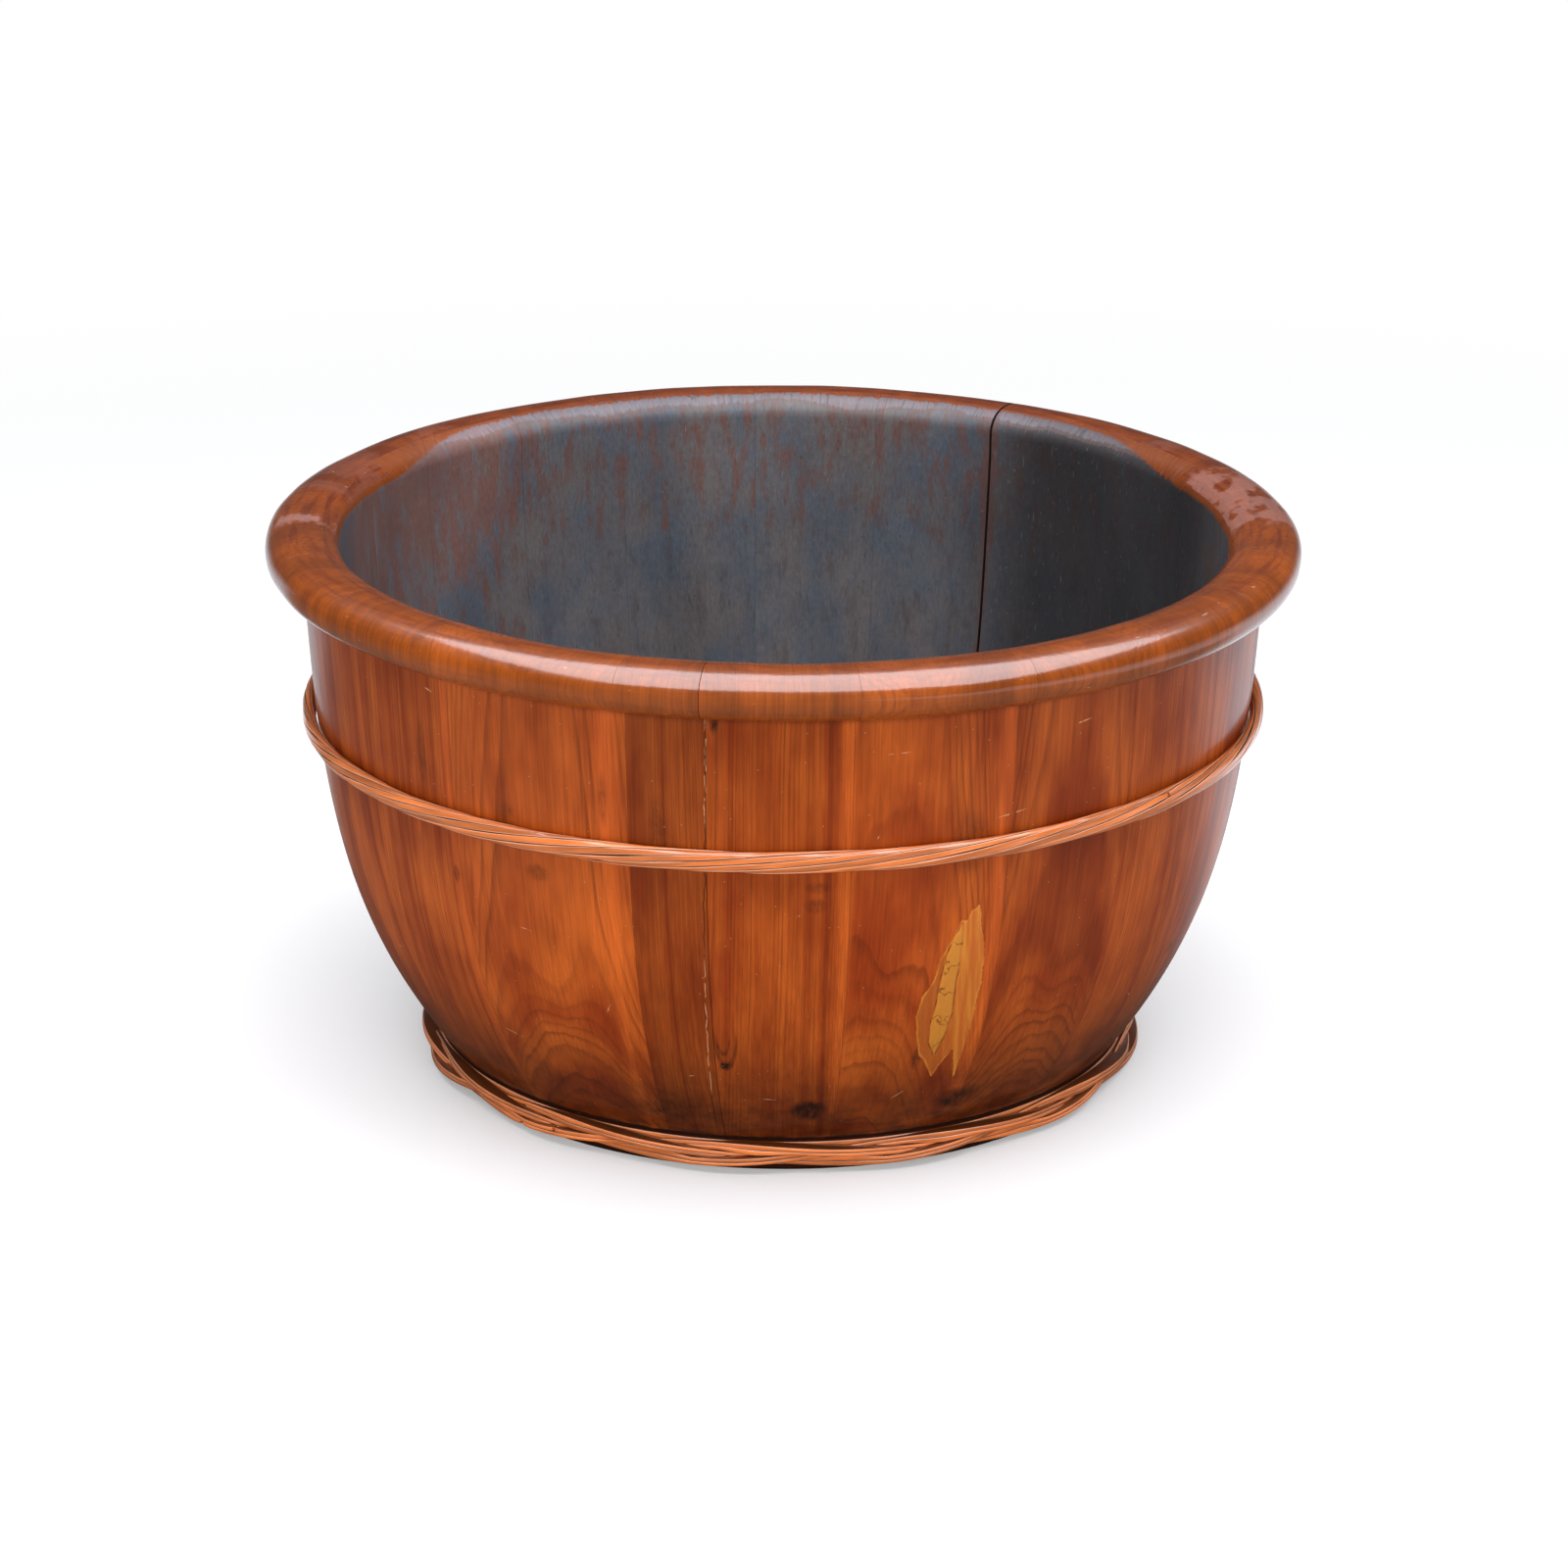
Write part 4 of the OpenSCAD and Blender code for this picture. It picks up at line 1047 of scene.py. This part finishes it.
def pale_floor(reach):
    """A plain white floor that keeps the tub's shadow and fades into the white background.

    The varnish reflects it dark in front and pale behind, and it throws less light up near the middle.
    """
    net = Net("pale_floor")
    place = net.node("ShaderNodeTexCoord").outputs["Object"]
    far = net.rise(net.vector("LENGTH", place), 0.7, 2.2)
    seen = net.node("ShaderNodeLightPath").outputs["Is Camera Ray"]
    white = net.node("ShaderNodeEmission", {"Color": (1, 1, 1, 1), "Strength": 1.0}).outputs[0]
    right, back, _ = net.parts(place)
    side = net.math("ABSOLUTE", right)
    behind = net.add(back, net.times(right, 0.285), net.times(side, -0.435))
    pale = net.math("MAXIMUM", net.rise(behind, -0.1, 0.3), net.times(net.rise(right, 0.9, 1.25), 0.6))
    mirrored = net.mix(pale, (0.14, 0.1, 0.075), (0.84, 0.86, 0.88))
    bounced = net.mix(net.rise(side, 0.2, 0.6), (0.16, 0.14, 0.13), (0.75, 0.7, 0.65))
    diffuse = net.node("ShaderNodeLightPath").outputs["Is Diffuse Ray"]
    unseen = net.mix(diffuse, mirrored, bounced)
    net.done(net.mix(seen, unseen, (0.8, 0.8, 0.8)), 0.7)
    net.feed(net.shader.inputs["Emission Color"], (1, 1, 1))
    net.feed(net.shader.inputs["Emission Strength"], net.times(seen, 0.25))
    mixed = net.node("ShaderNodeMixShader")
    net.feed(mixed.inputs[0], net.times(far, seen))
    net.feed(mixed.inputs[1], net.shader.outputs[0])
    net.feed(mixed.inputs[2], white)
    net.feed(net.tree.nodes["Material Output"].inputs["Surface"], mixed.outputs[0])
    bm = bmesh.new()
    bmesh.ops.create_grid(bm, x_segments=1, y_segments=1, size=reach)
    mesh = bpy.data.meshes.new("floor")
    bm.to_mesh(mesh)
    bm.free()
    mesh.materials.append(net.material)
    floor = bpy.data.objects.new("floor", mesh)
    bpy.context.scene.collection.objects.link(floor)


def white_room():
    """Soft light from all round, lighter overhead, in front of a white background."""
    world = bpy.data.worlds.new("white_room")
    bpy.context.scene.world = world
    world.use_nodes = True
    tree = world.node_tree
    tree.nodes.clear()

    def add(kind, **settings):
        """Adds a node of the world with its settings."""
        node = tree.nodes.new(kind)
        for key, value in settings.items():
            setattr(node, key, value)
        return node

    output = add("ShaderNodeOutputWorld")
    up = add("ShaderNodeSeparateXYZ")
    tree.links.new(add("ShaderNodeTexCoord").outputs["Generated"], up.inputs[0])
    ramp = add("ShaderNodeMapRange", interpolation_type="SMOOTHSTEP")
    ramp.inputs["From Min"].default_value = 0.4
    ramp.inputs["From Max"].default_value = 0.95
    ramp.inputs["To Min"].default_value = 0.08
    ramp.inputs["To Max"].default_value = 0.5
    tree.links.new(up.outputs["Z"], ramp.inputs["Value"])
    room = add("ShaderNodeBackground")
    room.inputs["Color"].default_value = (0.97, 0.98, 1.0, 1)
    tree.links.new(ramp.outputs["Result"], room.inputs["Strength"])
    white = add("ShaderNodeBackground")
    white.inputs["Color"].default_value = (1, 1, 1, 1)
    mix = add("ShaderNodeMixShader")
    tree.links.new(add("ShaderNodeLightPath").outputs["Is Camera Ray"], mix.inputs[0])
    tree.links.new(room.outputs[0], mix.inputs[1])
    tree.links.new(white.outputs[0], mix.inputs[2])
    tree.links.new(mix.outputs[0], output.inputs["Surface"])


def photo_camera():
    """The camera at the photograph's viewing angle."""
    aim = Vector((0, 0, 0.1823))
    distance = 3.464
    elevation = math.radians(19.82)
    roll = 0.0068
    data = bpy.data.cameras.new("camera")
    data.sensor_width = 36
    data.lens = 115.4
    data.shift_x = 0.0014
    data.shift_y = 0.0015
    camera = bpy.data.objects.new("camera", data)
    camera.location = aim + distance * Vector((0, -math.cos(elevation), math.sin(elevation)))
    tilt = Matrix.Rotation(math.pi / 2 - elevation, 3, "X") @ Matrix.Rotation(roll, 3, "Z")
    camera.rotation_euler = tilt.to_euler()
    bpy.context.scene.collection.objects.link(camera)
    bpy.context.scene.camera = camera


class BASIN_OT_staves(bpy.types.Operator):
    """Build the staves with their share of the carved lip"""

    bl_idname = "basin.staves"
    bl_label = "Staves"

    def execute(self, context):
        scene = context.scene
        random.seed(21)
        tub = Tub(scene.basin_sizes)
        colours = scene.basin_colours
        materials = [varnished_wall(colours), varnished_lip(colours), lacquer(colours), joint_wood(colours)]
        for k in range(1, len(STAVE_SHARES) + 1):
            make_stave(tub, k, materials)
        return {"FINISHED"}


class BASIN_OT_upper_hoop(bpy.types.Operator):
    """Build the twisted hoop round the belly"""

    bl_idname = "basin.upper_hoop"
    bl_label = "Upper hoop"

    def execute(self, context):
        scene = context.scene
        random.seed(9)
        tub = Tub(scene.basin_sizes)
        material = split_cane(scene.basin_colours, "upper_cane", 1.06)
        for i in range(1, len(ROPE_ENDS) + 1):
            make_rope_splint(tub, i, material)
        return {"FINISHED"}


class BASIN_OT_lower_hoop(bpy.types.Operator):
    """Build the plaited hoop round the foot"""

    bl_idname = "basin.lower_hoop"
    bl_label = "Lower hoop"

    def execute(self, context):
        scene = context.scene
        random.seed(6)
        tub = Tub(scene.basin_sizes)
        # The lower hoop's cane gets a larger light share: painted light, as the floor lights it less
        material = split_cane(scene.basin_colours, "lower_cane", 1.14)
        for i in range(1, len(PLAIT_ENDS) + 1):
            make_plait_splint(tub, i, material)
        for i in range(1, len(CORE_ENDS) + 1):
            make_core_splint(tub, i, material)
        return {"FINISHED"}


class BASIN_OT_filler(bpy.types.Operator):
    """Build the patch of wood filler on the front"""

    bl_idname = "basin.filler"
    bl_label = "Filler patch"

    def execute(self, context):
        scene = context.scene
        make_filler(Tub(scene.basin_sizes), wood_filler(scene.basin_colours))
        return {"FINISHED"}


class BASIN_OT_floor_boards(bpy.types.Operator):
    """Finish the floor boards and the pegs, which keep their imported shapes"""

    bl_idname = "basin.floor_boards"
    bl_label = "Floor boards and pegs"

    def execute(self, context):
        colours = context.scene.basin_colours
        finishes = {"floor_board": floor_lacquer(colours), "stave_pegs": bamboo(colours)}
        finishes["floor_pegs"] = finishes["stave_pegs"]
        for name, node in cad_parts.items():
            for start, material in finishes.items():
                if name.startswith(start):
                    node.data.materials.clear()
                    node.data.materials.append(material)
        return {"FINISHED"}


class BASIN_OT_stage(bpy.types.Operator):
    """Set the floor, the soft lights and the camera"""

    bl_idname = "basin.stage"
    bl_label = "Stage"

    def execute(self, context):
        context.scene.view_settings.view_transform = "Standard"
        pale_floor(12)
        white_room()
        soft_box("overhead_light", place=(0.2, -0.3, 2.05), aim=(0.2, -0.2, 0.3), width=3.2, height=2.8,
                 power=86, colour=(0.93, 0.96, 1.02))
        front = soft_box("front_light", place=(-0.2, -4.3, 1.3), aim=(0, 0, 0.2), width=6.5, height=1.8,
                         power=165)
        front.visible_glossy = False
        photo_camera()
        return {"FINISHED"}


class BASIN_PT_panel(bpy.types.Panel):
    """Sizes, colours and steps of the wash basin"""

    bl_idname = "BASIN_PT_panel"
    bl_label = "Wash basin"
    bl_space_type = "VIEW_3D"
    bl_region_type = "UI"
    bl_category = "Basin"

    def draw(self, context):
        layout = self.layout
        for step in STEPS:
            layout.operator(step.bl_idname)
        for group in (context.scene.basin_sizes, context.scene.basin_colours):
            box = layout.box()
            for key in group.__annotations__:
                box.prop(group, key)


STEPS = (BASIN_OT_stage, BASIN_OT_staves, BASIN_OT_upper_hoop, BASIN_OT_lower_hoop, BASIN_OT_filler,
         BASIN_OT_floor_boards)
CLASSES = (BasinSizes, BasinColours, *STEPS, BASIN_PT_panel)


def register():
    for kind in CLASSES:
        bpy.utils.register_class(kind)
    bpy.types.Scene.basin_sizes = PointerProperty(type=BasinSizes)
    bpy.types.Scene.basin_colours = PointerProperty(type=BasinColours)


def unregister():
    del bpy.types.Scene.basin_colours
    del bpy.types.Scene.basin_sizes
    for kind in reversed(CLASSES):
        bpy.utils.unregister_class(kind)


def main():
    register()
    bpy.ops.basin.stage()
    bpy.ops.basin.staves()
    bpy.ops.basin.upper_hoop()
    bpy.ops.basin.lower_hoop()
    bpy.ops.basin.filler()
    bpy.ops.basin.floor_boards()


if __name__ == "__main__":
    main()
